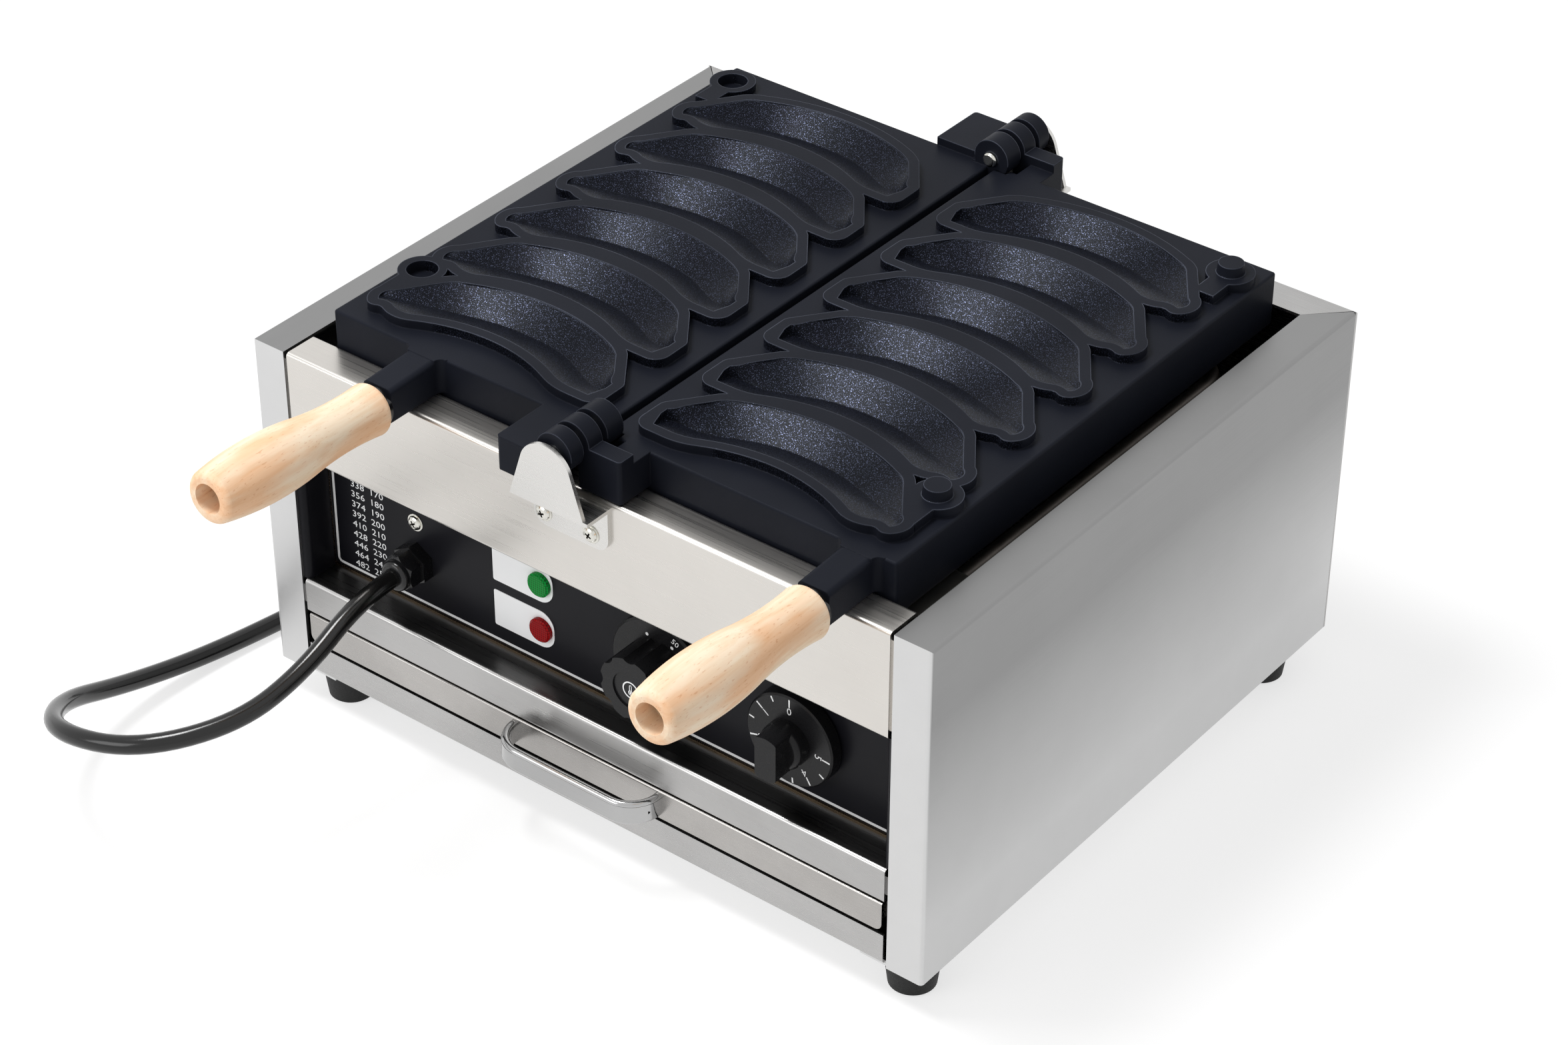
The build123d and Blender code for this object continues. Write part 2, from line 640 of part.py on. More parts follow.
def capillary():
    """Thin tube from the thermostat's body to the bulb."""
    body_top = CONTROL_AXIS_HEIGHT + CONTROL_BODY / 2
    inside = PANEL_BACK + CONTROL_BODY_DEPTH / 2
    straight_end = SHIELD_Y + CAPILLARY_STRAIGHT
    points = (
        (SENSOR_X, inside, body_top),
        (SENSOR_X, inside, CAPILLARY_HEIGHT),
        (SENSOR_X, straight_end, CAPILLARY_HEIGHT),
        (SENSOR_X, straight_end + CAPILLARY_SLOPE, SENSOR_HEIGHT),
        (SENSOR_X, SUPPORT_FRONT, SENSOR_HEIGHT),
    )
    path = FilletPolyline(*points, radius=CAPILLARY_BEND)
    section = Plane(origin=points[0], z_dir=(0, 0, 1)) * Circle(CAPILLARY_RADIUS)
    return sweep(section, path=path)


def control_body(x):
    """Switch body behind the panel, with its bush and shaft."""
    half = CONTROL_BODY / 2
    z = CONTROL_AXIS_HEIGHT
    body = block(x - half, x + half, PANEL_BACK, PANEL_BACK + CONTROL_BODY_DEPTH, z - half, z + half)
    body = fillet(body.edges().filter_by(Axis.Y), 4)
    body += along_y(x, z, BUSH_RADIUS, PANEL_RECESS, PANEL_BACK + 1)
    return body + along_y(x, z, SHAFT_RADIUS, PANEL_RECESS - SHAFT_OUT, PANEL_BACK + 1)


def terminal_block():
    """Connector with two slots between its three ways."""
    length, depth, height = TERMINAL_SIZE
    rear = SHIELD_Y - FOLD
    front = rear - depth
    top = SHIELD_FLOOR + height
    half = length / 2
    body = block(TERMINAL_X - half, TERMINAL_X + half, front, rear, SHIELD_FLOOR, top)
    for step in (-1, 1):
        x = TERMINAL_X + step * length / 6
        body -= block(
            x - TERMINAL_SLOT / 2, x + TERMINAL_SLOT / 2, front - 1, rear + 1, top - TERMINAL_SLOT_DEPTH, top + 1
        )
    return body


def earth_stud():
    place = Pos(EARTH_INSET - WALL_IN, SHIELD_Y - EARTH_SETBACK, SHIELD_FLOOR)
    stud = place * Cylinder(EARTH_RADIUS, EARTH_HEIGHT, align=(Align.CENTER, Align.CENTER, Align.MIN))
    nut = place * extrude(RegularPolygon(EARTH_NUT_FLATS / 2, 6, major_radius=False), amount=EARTH_NUT_HEIGHT)
    return stud + nut


# Controls on the panel

def lamp_lens(z):
    """Round lens, slightly domed, in front of the panel."""
    face = PANEL_RECESS - LAMP_LENS_DEPTH
    lens = along_y(LAMP_X, z, LAMP_LENS_RADIUS, face, PANEL_RECESS)
    rim = lens.edges().filter_by(GeomType.CIRCLE).sort_by(Axis.Y)[0]
    return chamfer(rim, LENS_EDGE)


def lamp_body(z):
    return along_y(LAMP_X, z, LAMP_BODY_RADIUS, PANEL_RECESS, PANEL_RECESS + LAMP_BODY_LENGTH)


def thermostat_knob():
    """Scalloped grip on a printed skirt."""
    back = PANEL_RECESS - KNOB_STANDOFF
    front = back - THERMOSTAT_KNOB_LENGTH
    skirt_front = back - THERMOSTAT_SKIRT
    z = CONTROL_AXIS_HEIGHT
    skirt = along_y(THERMOSTAT_X, z, THERMOSTAT_SKIRT_RADIUS, skirt_front, back)
    skirt = chamfer(skirt.edges().filter_by(GeomType.CIRCLE).sort_by(Axis.Y)[0], 1.0)
    outline = Circle(THERMOSTAT_GRIP_RADIUS)
    reach = THERMOSTAT_GRIP_RADIUS + SCALLOP_RADIUS - SCALLOP_DEPTH
    outline -= PolarLocations(reach, SCALLOPS) * Circle(SCALLOP_RADIUS)
    grip = Pos(THERMOSTAT_X, skirt_front + 0.5, z) * extrude(Plane.XZ * outline, amount=skirt_front + 0.5 - front)
    knob = skirt + grip
    knob -= along_y(THERMOSTAT_X, z, CAP_RADIUS, front - 1, front + CAP_RECESS)
    return knob - shaft_bore(THERMOSTAT_X)


def shaft_bore(x):
    """Blind hole for a switch shaft."""
    end = PANEL_RECESS - SHAFT_OUT - 0.5
    return along_y(x, CONTROL_AXIS_HEIGHT, SHAFT_RADIUS + SHAFT_FIT, end, PANEL_RECESS)


def timer_knob():
    """Bar grip on a round hub over a printed dial."""
    back = PANEL_RECESS - KNOB_STANDOFF
    front = back - TIMER_KNOB_LENGTH
    dial = back - TIMER_SKIRT
    z = CONTROL_AXIS_HEIGHT
    skirt = along_y(TIMER_X, z, TIMER_SKIRT_RADIUS, dial, back)
    skirt = chamfer(skirt.edges().filter_by(GeomType.CIRCLE).sort_by(Axis.Y)[0], 0.8)
    hub = along_y(TIMER_X, z, TIMER_HUB_RADIUS, dial - TIMER_HUB_DEPTH, dial + 1)
    hub = fillet(hub.edges().filter_by(GeomType.CIRCLE).sort_by(Axis.Y)[0], 3.0)
    bar = along_y(TIMER_X, z, TIMER_HUB_RADIUS, front, dial)
    half = TIMER_BAR_WIDTH / 2
    reach = TIMER_HUB_RADIUS
    bar &= block(TIMER_X - half, TIMER_X + half, front - 1, dial + 1, z - reach, z + reach)
    bar = fillet(bar.edges().filter_by(Axis.Y), 1.5)
    return skirt + hub + bar - shaft_bore(TIMER_X)


def gland_body():
    """Hexagon against the panel with threads to both sides."""
    seat = PANEL_RECESS - GLAND_HEX_LENGTH
    hexagon = hexagon_bar(GLAND_FLATS, seat, PANEL_RECESS, GLAND_X, GLAND_HEIGHT)
    inner_end = PANEL_BACK + GLAND_THREAD_LENGTH
    body = hexagon + along_y(GLAND_X, GLAND_HEIGHT, GLAND_THREAD_RADIUS, PANEL_RECESS - 1, inner_end)
    return body - cord_bore()


def cord_bore():
    return along_y(GLAND_X, GLAND_HEIGHT, CORD_DIAMETER / 2 + CORD_FIT, gland_exit() - 1, SHIELD_Y)


def gland_exit():
    return PANEL_RECESS - GLAND_HEX_LENGTH - GLAND_NUT_LENGTH - GLAND_NOSE_LENGTH


def gland_dome_nut():
    """Clamping nut: hexagon with turned-down corners and a rounded nose."""
    seat = PANEL_RECESS - GLAND_HEX_LENGTH
    shoulder = seat - GLAND_NUT_LENGTH
    turned = along_y(GLAND_X, GLAND_HEIGHT, GLAND_NUT_FLATS / math.sqrt(3), shoulder, seat)
    turned = chamfer(turned.edges().filter_by(GeomType.CIRCLE).sort_by(Axis.Y)[0], GLAND_NUT_EDGE)
    nut = turned & hexagon_bar(GLAND_NUT_FLATS, shoulder - 1, seat, GLAND_X, GLAND_HEIGHT)
    nose = along_y(GLAND_X, GLAND_HEIGHT, GLAND_NOSE_RADIUS, gland_exit(), shoulder + 1)
    nose = fillet(nose.edges().filter_by(GeomType.CIRCLE).sort_by(Axis.Y)[0], GLAND_NOSE_ROUND)
    return nut + nose - cord_bore()


def gland_locknut():
    end = PANEL_BACK + LOCKNUT_LENGTH
    nut = hexagon_bar(GLAND_FLATS, PANEL_BACK, end, GLAND_X, GLAND_HEIGHT)
    return nut - along_y(GLAND_X, GLAND_HEIGHT, GLAND_THREAD_RADIUS + SHAFT_FIT, PANEL_BACK - 1, end + 1)


def inner_lead():
    """The cord's stretch inside, from the gland's nose into the bay behind the panel."""
    return along_y(GLAND_X, GLAND_HEIGHT, CORD_DIAMETER / 2, gland_exit(), PANEL_BACK + LEAD_INSIDE)


# Crumb tray

def crumb_tray():
    """Open pan behind a folded front."""
    half_front = TRAY_FRONT_WIDTH / 2
    front = block(-half_front, half_front, 0, TRAY_LIP, TRAY_BOTTOM, TRAY_TOP)
    front = fillet(edges_at(front, Axis.Y, z=TRAY_BOTTOM), TRAY_CORNER)
    front = fillet(edges_at(front, Axis.X, y=0, z=TRAY_TOP), 1.0)
    front -= block(-half_front - 1, half_front + 1, SHEET, TRAY_LIP + 1, TRAY_BOTTOM - 1, TRAY_TOP - SHEET)
    half = TRAY_WIDTH / 2
    pan = block(-half, half, SHEET / 2, TRAY_LENGTH, TRAY_PAN_BOTTOM, TRAY_TOP - SHEET)
    pan = fillet(edges_at(pan, Axis.Z, y=TRAY_LENGTH), TRAY_CORNER)
    inside = block(
        -half + TRAY_SHEET, half - TRAY_SHEET, SHEET, TRAY_LENGTH - TRAY_SHEET,
        TRAY_PAN_BOTTOM + TRAY_SHEET, TRAY_TOP,
    )
    inside = fillet(edges_at(inside, Axis.Z, y=TRAY_LENGTH - TRAY_SHEET), TRAY_CORNER - TRAY_SHEET)
    tray = front + (pan - inside)
    for x, z in tray_screw_places():
        tray -= along_y(x, z, SCREW_RADIUS + HOLE_CLEARANCE, -1, SHEET + 1)
    return tray


def tray_screw_places():
    z = (TRAY_BOTTOM + TRAY_TOP) / 2
    reach = TRAY_HANDLE_SPACING / 2
    return ((TRAY_HANDLE_X - reach, z), (TRAY_HANDLE_X + reach, z))


def tray_handle():
    """Flat-oval bow with large bends."""
    z = (TRAY_BOTTOM + TRAY_TOP) / 2
    reach = TRAY_HANDLE_SPACING / 2
    left = TRAY_HANDLE_X - reach
    right = TRAY_HANDLE_X + reach
    points = ((left, 0, z), (left, -TRAY_HANDLE_REACH, z), (right, -TRAY_HANDLE_REACH, z), (right, 0, z))
    path = FilletPolyline(*points, radius=TRAY_HANDLE_REACH - 0.5)
    section = SlotOverall(TRAY_HANDLE_TALL, TRAY_HANDLE_THICK - 0.4)
    flat = Rectangle(TRAY_HANDLE_TALL - 4, TRAY_HANDLE_THICK)
    start = Plane(origin=points[0], x_dir=(0, 0, 1), z_dir=(0, -1, 0))
    bow = sweep(start * (section + flat), path=path)
    for x, height in tray_screw_places():
        bow -= along_y(x, height, SCREW_RADIUS * 0.5 + SHAFT_FIT, -TRAY_HANDLE_REACH * 0.5, 1)
    return bow


def tray_handle_screws():
    """Two screws through the tray's front into the bow's ends."""
    screws = []
    for x, z in tray_screw_places():
        head = along_y(x, z, SCREW_HEAD_RADIUS * 0.9, SHEET, SHEET + SCREW_HEAD_HEIGHT)
        shank = along_y(x, z, SCREW_RADIUS * 0.5, -TRAY_HANDLE_REACH * 0.4, SHEET + 1)
        screws.append(head + shank)
    return group(screws)


def tray_runner(foot_inset):
    """Right runner: foot on the base, web, shelf under the tray's edge and a side guard."""
    inner = TRAY_WIDTH / 2 + RUNNER_SIDE_CLEARANCE
    shelf_top = TRAY_PAN_BOTTOM - RUNNER_CLEARANCE
    y0 = RUNNER_START
    y1 = HOUSING_DEPTH - RUNNER_END_GAP
    web = block(inner, inner + SHEET, y0, y1, BASE_TOP, shelf_top + RUNNER_GUARD)
    shelf = block(inner - RUNNER_SHELF, inner + SHEET, y0, y1, shelf_top - SHEET, shelf_top)
    foot = block(inner - RUNNER_SHELF, inner + SHEET, y0, y1, BASE_TOP, BASE_TOP + SHEET)
    for y in foot_rows():
        hole = Cylinder(FOOT_SCREW_RADIUS + HOLE_CLEARANCE, 3 * SHEET)
        foot -= Pos(HALF - foot_inset, y, BASE_TOP) * hole
    return web + shelf + foot


# Feet

def foot(x, y):
    """Tapered rubber foot with a well for its screw."""
    body = Cone(FOOT_BOTTOM_RADIUS, FOOT_TOP_RADIUS, FOOT_HEIGHT, align=(Align.CENTER, Align.CENTER, Align.MIN))
    body = chamfer(body.edges().sort_by(Axis.Z)[0], FOOT_EDGE)
    body -= Pos(0, 0, FOOT_WELL_DEPTH / 2) * Cylinder(FOOT_WELL_RADIUS, FOOT_WELL_DEPTH)
    body -= Pos(0, 0, FOOT_HEIGHT / 2) * Cylinder(FOOT_SCREW_RADIUS + HOLE_CLEARANCE, FOOT_HEIGHT + 2)
    return Pos(x, y, 0) * body


def foot_screws():
    screws = []
    up = (Align.CENTER, Align.CENTER, Align.MIN)
    for x in foot_columns():
        for y in foot_rows():
            base = FOOT_WELL_DEPTH - FOOT_SCREW_HEAD_HEIGHT
            head = Pos(0, 0, base) * Cylinder(FOOT_SCREW_HEAD, FOOT_SCREW_HEAD_HEIGHT, align=up)
            length = BASE_TOP + FOOT_SCREW_ABOVE - base
            shank = Pos(0, 0, base) * Cylinder(FOOT_SCREW_RADIUS, length, align=up)
            screws.append(Pos(x, y, 0) * (head + shank))
    return group(screws)


# Mould plates

def hollow_outline():
    """Opening of one hollow at the ribs' top, in arcs and straight stretches."""
    edges = Polyline(*HOLLOW_BLUNT_END) + Line(*HOLLOW_SLANT) + Line(*HOLLOW_FOOT)
    for arc in (
        HOLLOW_SHOULDER, HOLLOW_BACK, HOLLOW_BEND, HOLLOW_NOSE, HOLLOW_BUMP,
        HOLLOW_DIP, HOLLOW_BELLY, HOLLOW_HEEL, HOLLOW_CORNER,
    ):
        edges += ThreePointArc(*arc)
    return scale(make_face(edges), by=HOLLOW_LENGTH / HOLLOW_DRAWN_LENGTH)


def hollow_tool():
    """Solid of one hollow: V sections across the curved crease, shallower towards the tips."""
    sections = []
    for outer, crease, inner, depth in HOLLOW_SECTIONS:
        corners = [(*crease, -depth)]
        for edge in (outer, inner):
            reach = [centre + (1 + HOLLOW_OVERCUT) * (end - centre) for centre, end in zip(crease, edge)]
            corners.append((*reach, HOLLOW_OVERCUT * depth))
        sections.append(make_face(Polyline(*corners, close=True)))
    sunk = scale(loft(sections), by=HOLLOW_LENGTH / HOLLOW_DRAWN_LENGTH)
    walls = extrude(hollow_outline(), amount=PLATE_HEIGHT, both=True)
    return Pos(0, 0, RIB_TOP) * (sunk & walls)


def hollow_rows():
    return [PLATE_MIDDLE + (index - (HOLLOWS - 1) / 2) * HOLLOW_PITCH for index in range(HOLLOWS)]


def locator_places():
    x = PLATE_OUTER - LOCATOR_INSET
    return [(x, PLATE_FRONT + LOCATOR_FRONT), (x, PLATE_REAR - LOCATOR_REAR)]


def mould_blank():
    """Right-hand casting without its own features."""
    slab = block(PLATE_INNER, PLATE_OUTER, PLATE_FRONT, PLATE_REAR, PLATE_BOTTOM, BASE_LEVEL)
    slab = fillet(slab.edges().filter_by(Axis.Z), PLATE_CORNER)
    slab = fillet(slab.faces().sort_by(Axis.Z)[-1].edges(), 1.2)
    room_x = PLATE_WIDTH - 2 * SKIRT_WALL - (BACK_COLUMNS - 1) * BACK_RIB
    room_y = PLATE_LENGTH - 2 * SKIRT_WALL - (BACK_ROWS - 1) * BACK_RIB
    pocket_x = room_x / BACK_COLUMNS
    pocket_y = room_y / BACK_ROWS
    pocket = extrude(RectangleRounded(pocket_x, pocket_y, POCKET_CORNER), amount=PLATE_HEIGHT - WEB + 1)
    for column in range(BACK_COLUMNS):
        for row in range(BACK_ROWS):
            x = PLATE_INNER + SKIRT_WALL + pocket_x / 2 + column * (pocket_x + BACK_RIB)
            y = PLATE_FRONT + SKIRT_WALL + pocket_y / 2 + row * (pocket_y + BACK_RIB)
            slab -= Pos(x, y, PLATE_BOTTOM - 1) * pocket
    outline = hollow_outline()
    rim = offset(outline, amount=RIM_WIDTH, kind=Kind.ARC)
    ribs = Sketch() + [Pos(BANK_X, y) * rim for y in hollow_rows()]
    for x, y in locator_places():
        ribs += Pos(x, y) * Circle(LOCATOR_BOSS)
        ribs += Pos(x, y - LOCATOR_BOSS) * Rectangle(LOCATOR_NECK, 2 * LOCATOR_BOSS)
    casting = slab + Pos(0, 0, BASE_LEVEL - 1) * extrude(ribs, amount=RIB_HEIGHT + 1)
    tool = hollow_tool()
    for y in hollow_rows():
        casting -= Pos(BANK_X, y) * tool
    return casting


def knuckle_span(number):
    """Front and rear ends of one front knuckle, counted from the outside."""
    lengths = (KNUCKLE_1, KNUCKLE_2, KNUCKLE_3)
    start = -KNUCKLE_REACH + sum(lengths[:number - 1]) + (number - 1) * KNUCKLE_SPACE
    return start, start + lengths[number - 1]


def knuckle(number):
    y0, y1 = knuckle_span(number)
    return along_y(0, AXIS_HEIGHT, KNUCKLE_RADIUS, y0, y1)


def pin_bore():
    return along_y(0, AXIS_HEIGHT, HINGE_PIN_RADIUS + HINGE_FIT, -KNUCKLE_REACH - 1, knuckle_span(3)[1] + 1)


def left_hinge_block(rise):
    """Block in front of the left plate that carries knuckles 1 and 3; rise lifts its top."""
    inner = PLATE_INNER + HINGE_BLOCK_INNER
    outer = PLATE_INNER + HINGE_BLOCK_OUTER
    bottom = TOP + HINGE_BLOCK_LIFT
    front = -KNUCKLE_REACH + HINGE_BLOCK_SETBACK
    body = block(-outer, -inner, front, PLATE_FRONT + 1, bottom, BASE_LEVEL + rise)
    body = fillet(edges_at(body, Axis.Z, y=front), CAST_EDGE)
    for number in (1, 3):
        y0, y1 = knuckle_span(number)
        body += block(-inner - 4, 0, y0, y1, AXIS_HEIGHT - LUG_FOOT, AXIS_HEIGHT - 4)
    room = along_y(0, AXIS_HEIGHT, KNUCKLE_RADIUS + KNUCKLE_CLEARANCE, knuckle_span(1)[1], knuckle_span(3)[0])
    return body - room + knuckle(1) + knuckle(3)


def right_hinge_arm():
    """Arm of the right plate that carries knuckle 2."""
    y0, y1 = knuckle_span(2)
    bottom = TOP + HINGE_BLOCK_LIFT
    arm = block(ARM_INNER, ARM_OUTER, y0, y1, bottom, RIB_TOP)
    arm = fillet(edges_at(arm, Axis.Z, x=ARM_OUTER, y=y0), CAST_EDGE)
    arm += block(ARM_WEB_INNER, ARM_OUTER, y1 - 1, PLATE_FRONT + 1, bottom, BASE_LEVEL)
    return arm + knuckle(2)


def left_handle_x():
    return LEFT_HANDLE_INSET - PLATE_OUTER


def right_handle_x():
    return PLATE_OUTER - RIGHT_HANDLE_INSET


def handle_plane(x):
    """Plane at a stub's end whose normal runs out along the handle."""
    tilt = math.radians(HANDLE_TILT)
    way = (0, -math.cos(tilt), math.sin(tilt))
    return Plane(origin=(x, -STUB_REACH, HANDLE_AXIS_HEIGHT), x_dir=(1, 0, 0), z_dir=way)


def on_handle(x, shape):
    return handle_plane(x) * shape


def handle_stub(x):
    """Square arm over the apron, cut off square to the handle where the ferrule sits."""
    bottom = TOP + STUB_CLEARANCE
    top = BASE_LEVEL - STUB_DROP
    half = STUB_WIDTH / 2
    lean = math.tan(math.radians(HANDLE_TILT))
    side = Polyline(
        (PLATE_FRONT + 1, bottom), (lean * (bottom - HANDLE_AXIS_HEIGHT) - STUB_REACH, bottom),
        (lean * (top - HANDLE_AXIS_HEIGHT) - STUB_REACH, top), (PLATE_FRONT + 1, BASE_LEVEL), close=True,
    )
    arm = Pos(x - half, 0, 0) * extrude(Plane.YZ * make_face(side), amount=STUB_WIDTH)
    ridges = arm.faces().sort_by(Axis.Z)[-1].edges().filter_by(lambda edge: abs((edge @ 0 - edge @ 1).X) < 0.01)
    arm = fillet(ridges, STUB_EDGE)
    root = Rectangle(STUB_WIDTH + 2 * STUB_COVE, 2 * STUB_COVE)
    for reach in (-half - STUB_COVE, half + STUB_COVE):
        root -= Pos(reach, -STUB_COVE) * Circle(STUB_COVE)
    return arm + Pos(x, PLATE_FRONT, bottom) * extrude(root, amount=BASE_LEVEL - bottom)


def rod_hole(x):
    hole = Cylinder(ROD_RADIUS + SHAFT_FIT, ROD_EMBED + 2, align=(Align.CENTER, Align.CENTER, Align.MAX))
    return on_handle(x, Pos(0, 0, 1) * hole)


def right_plate():
    plate = mould_blank()
    plate += handle_stub(right_handle_x())
    plate -= rod_hole(right_handle_x())
    room = along_y(
        0, AXIS_HEIGHT, KNUCKLE_RADIUS + KNUCKLE_CLEARANCE,
        knuckle_span(3)[0] - 2, knuckle_span(3)[1] + KNUCKLE_CLEARANCE,
    )
    for place in (lambda shape: shape, mirrored_y):
        plate += place(right_hinge_arm())
        plate -= place(room)
        plate -= place(pin_bore())
    for x, y in locator_places():
        top = LOCATOR_RADIUS - LOCATOR_HEIGHT * math.tan(math.radians(LOCATOR_TAPER))
        pin = Cone(LOCATOR_RADIUS, top, LOCATOR_HEIGHT, align=(Align.CENTER, Align.CENTER, Align.MIN))
        plate += Pos(x, y, RIB_TOP) * pin
    return plate


def left_plate():
    plate = mirrored_x(mould_blank())
    plate += handle_stub(left_handle_x())
    plate -= rod_hole(left_handle_x())
    plate += left_hinge_block(0)
    plate += mirrored_y(left_hinge_block(REAR_BLOCK_RISE))
    for place in (lambda shape: shape, mirrored_y):
        plate -= place(pin_bore())
    depth = LOCATOR_HEIGHT + SOCKET_EXTRA_DEPTH
    for x, y in locator_places():
        socket = Cylinder(LOCATOR_RADIUS + SOCKET_PLAY, depth + 1, align=(Align.CENTER, Align.CENTER, Align.MIN))
        plate -= Pos(-x, y, RIB_TOP - depth) * socket
    return plate


def hinge_pin():
    """Front pin, fixed in the bracket's ear, with a rounded inner end."""
    end = knuckle_span(3)[1] + HINGE_PIN_PROUD
    pin = along_y(0, AXIS_HEIGHT, HINGE_PIN_RADIUS, -BRACKET_SHELF + BRACKET_SHEET, end)
    return fillet(pin.edges().filter_by(GeomType.CIRCLE).sort_by(Axis.Y)[-1], 1.6)


def bracket_screw_places():
    flange_bottom = TOP - SHEET * 2 - BRACKET_FLANGE
    return [(x, flange_bottom + rise) for x, rise in BRACKET_SCREWS]


def hinge_bracket():
    """Front bracket: flange on the apron, shelf, and the ear that carries the pin."""
    half = BRACKET_WIDTH / 2
    shelf_top = TOP - 2 * SHEET
    flange_bottom = shelf_top - BRACKET_FLANGE
    flange = block(-half, half, -BRACKET_SHEET, 0, flange_bottom, shelf_top)
    flange = fillet(edges_at(flange, Axis.Y, z=flange_bottom), BRACKET_CORNER)
    shelf = block(-half, half, -BRACKET_SHELF, 0, shelf_top - BRACKET_SHEET, shelf_top)
    centre = AXIS_HEIGHT + EAR_OVER_AXIS - BRACKET_DOME
    base = shelf_top - BRACKET_SHEET
    rise = centre - base
    lean = math.acos(BRACKET_DOME / math.hypot(half, rise)) - math.atan2(rise, half)
    touch_x = BRACKET_DOME * math.cos(lean)
    touch_z = centre + BRACKET_DOME * math.sin(lean)
    outline = Polyline((-touch_x, touch_z), (-half, base), (half, base), (touch_x, touch_z))
    dome = ThreePointArc((touch_x, touch_z), (0, centre + BRACKET_DOME), (-touch_x, touch_z))
    ear = extrude(Plane.XZ.offset(BRACKET_SHELF - BRACKET_SHEET) * make_face(outline + dome), amount=BRACKET_SHEET)
    bracket = flange + shelf + Pos(EAR_SHIFT, 0, 0) * ear
    for x, z in bracket_screw_places():
        bracket -= along_y(x, z, SCREW_RADIUS + HOLE_CLEARANCE, -BRACKET_SHEET - 1, 1)
    return bracket


def bracket_screws():
    return [pan_screw(x, z, -BRACKET_SHEET) for x, z in bracket_screw_places()]


# Handles, built on their own axis

def handle_rod():
    length = ROD_EMBED + FERRULE_LENGTH + GRIP_LENGTH - GRIP_BORE_DEPTH + GRIP_NUT_HEIGHT + ROD_PAST_NUT
    rod = Cylinder(ROD_RADIUS, length, align=(Align.CENTER, Align.CENTER, Align.MIN))
    return Pos(0, 0, -ROD_EMBED) * rod


def ferrule():
    ring = Cylinder(FERRULE_RADIUS, FERRULE_LENGTH, align=(Align.CENTER, Align.CENTER, Align.MIN))
    return ring - Cylinder(ROD_RADIUS + SHAFT_FIT, 3 * FERRULE_LENGTH)


def grip():
    """Turned wooden grip: waist near the hand guard, bulge towards the open end."""
    start = FERRULE_LENGTH
    end = start + GRIP_LENGTH
    bore = ROD_RADIUS + SHAFT_FIT
    shoulder = ThreePointArc(
        (GRIP_START_RADIUS - 3.0, start), (GRIP_START_RADIUS - 0.6, start + 1.0), (GRIP_START_RADIUS, start + 3.5)
    )
    turning = (
        start + GRIP_LENGTH * GRIP_TURNING_SHARE,
        (GRIP_WAIST_RADIUS + GRIP_BULGE_RADIUS) / 2,
    )
    waist = ThreePointArc(
        (GRIP_START_RADIUS, start + 3.5), (GRIP_WAIST_RADIUS, start + GRIP_LENGTH * GRIP_WAIST_SHARE),
        (turning[1], turning[0]),
    )
    bulge = ThreePointArc(
        (turning[1], turning[0]), (GRIP_BULGE_RADIUS, start + GRIP_LENGTH * GRIP_BULGE_SHARE),
        (GRIP_END_RADIUS + 1.0, end - 2.5),
    )
    brim = ThreePointArc(
        (GRIP_END_RADIUS + 1.0, end - 2.5), (GRIP_END_RADIUS - 0.3, end - 0.7), (GRIP_END_RADIUS - 2.0, end)
    )
    closing = Polyline(
        (GRIP_END_RADIUS - 2.0, end), (GRIP_BORE_RADIUS, end), (GRIP_BORE_RADIUS, end - GRIP_BORE_DEPTH),
        (bore, end - GRIP_BORE_DEPTH), (bore, start), (GRIP_START_RADIUS - 3.0, start),
    )
    section = make_face(shoulder + waist + bulge + brim + closing)
    return revolve(Plane.XZ * section, axis=Axis.Z)


def grip_nut():
    """Nut that holds the grip, deep in its open end."""
    seat = FERRULE_LENGTH + GRIP_LENGTH - GRIP_BORE_DEPTH
    nut = extrude(RegularPolygon(GRIP_NUT_FLATS / 2, 6, major_radius=False), amount=GRIP_NUT_HEIGHT)
    nut -= Cylinder(ROD_RADIUS + SHAFT_FIT, 3 * GRIP_NUT_HEIGHT)
    return Pos(0, 0, seat) * nut


# Mains cord

def cord_tube(path, start, direction):
    """Sweep of a many-sided section, as thick as the round cord, along a path."""
    section = Plane(origin=start, z_dir=direction) * RegularPolygon(CORD_DIAMETER / 2, CORD_SIDES)
    return sweep(section, path=path)


def route():
    """Points of the free cord, from the gland's nose to the start of the coil."""
    first = (GLAND_X, gland_exit(), GLAND_HEIGHT)
    last, way = coil_station(0)
    return [first, *CORD_ROUTE, tuple(last - way * COIL_APPROACH), tuple(last)]


def route_radii(points):
    """Largest fitting arc at each corner: 0.45 of the shorter run over the half turn's tangent."""
    radii = []
    for before, corner, after in zip(points, points[1:], points[2:]):
        arriving = Vector(*corner) - Vector(*before)
        leaving = Vector(*after) - Vector(*corner)
        half_turn = math.radians(arriving.get_angle(leaving)) / 2
        radii.append(0.45 * min(arriving.length, leaving.length) / math.tan(half_turn))
    return radii


def power_cord():
    points = route()
    radii = route_radii(points)
    path = FilletPolyline(*points, radius=radii)
    print("cord radii", [round(radius) for radius in radii], "free length", round(path.length))
    return cord_tube(path, points[0], (0, -1, 0))


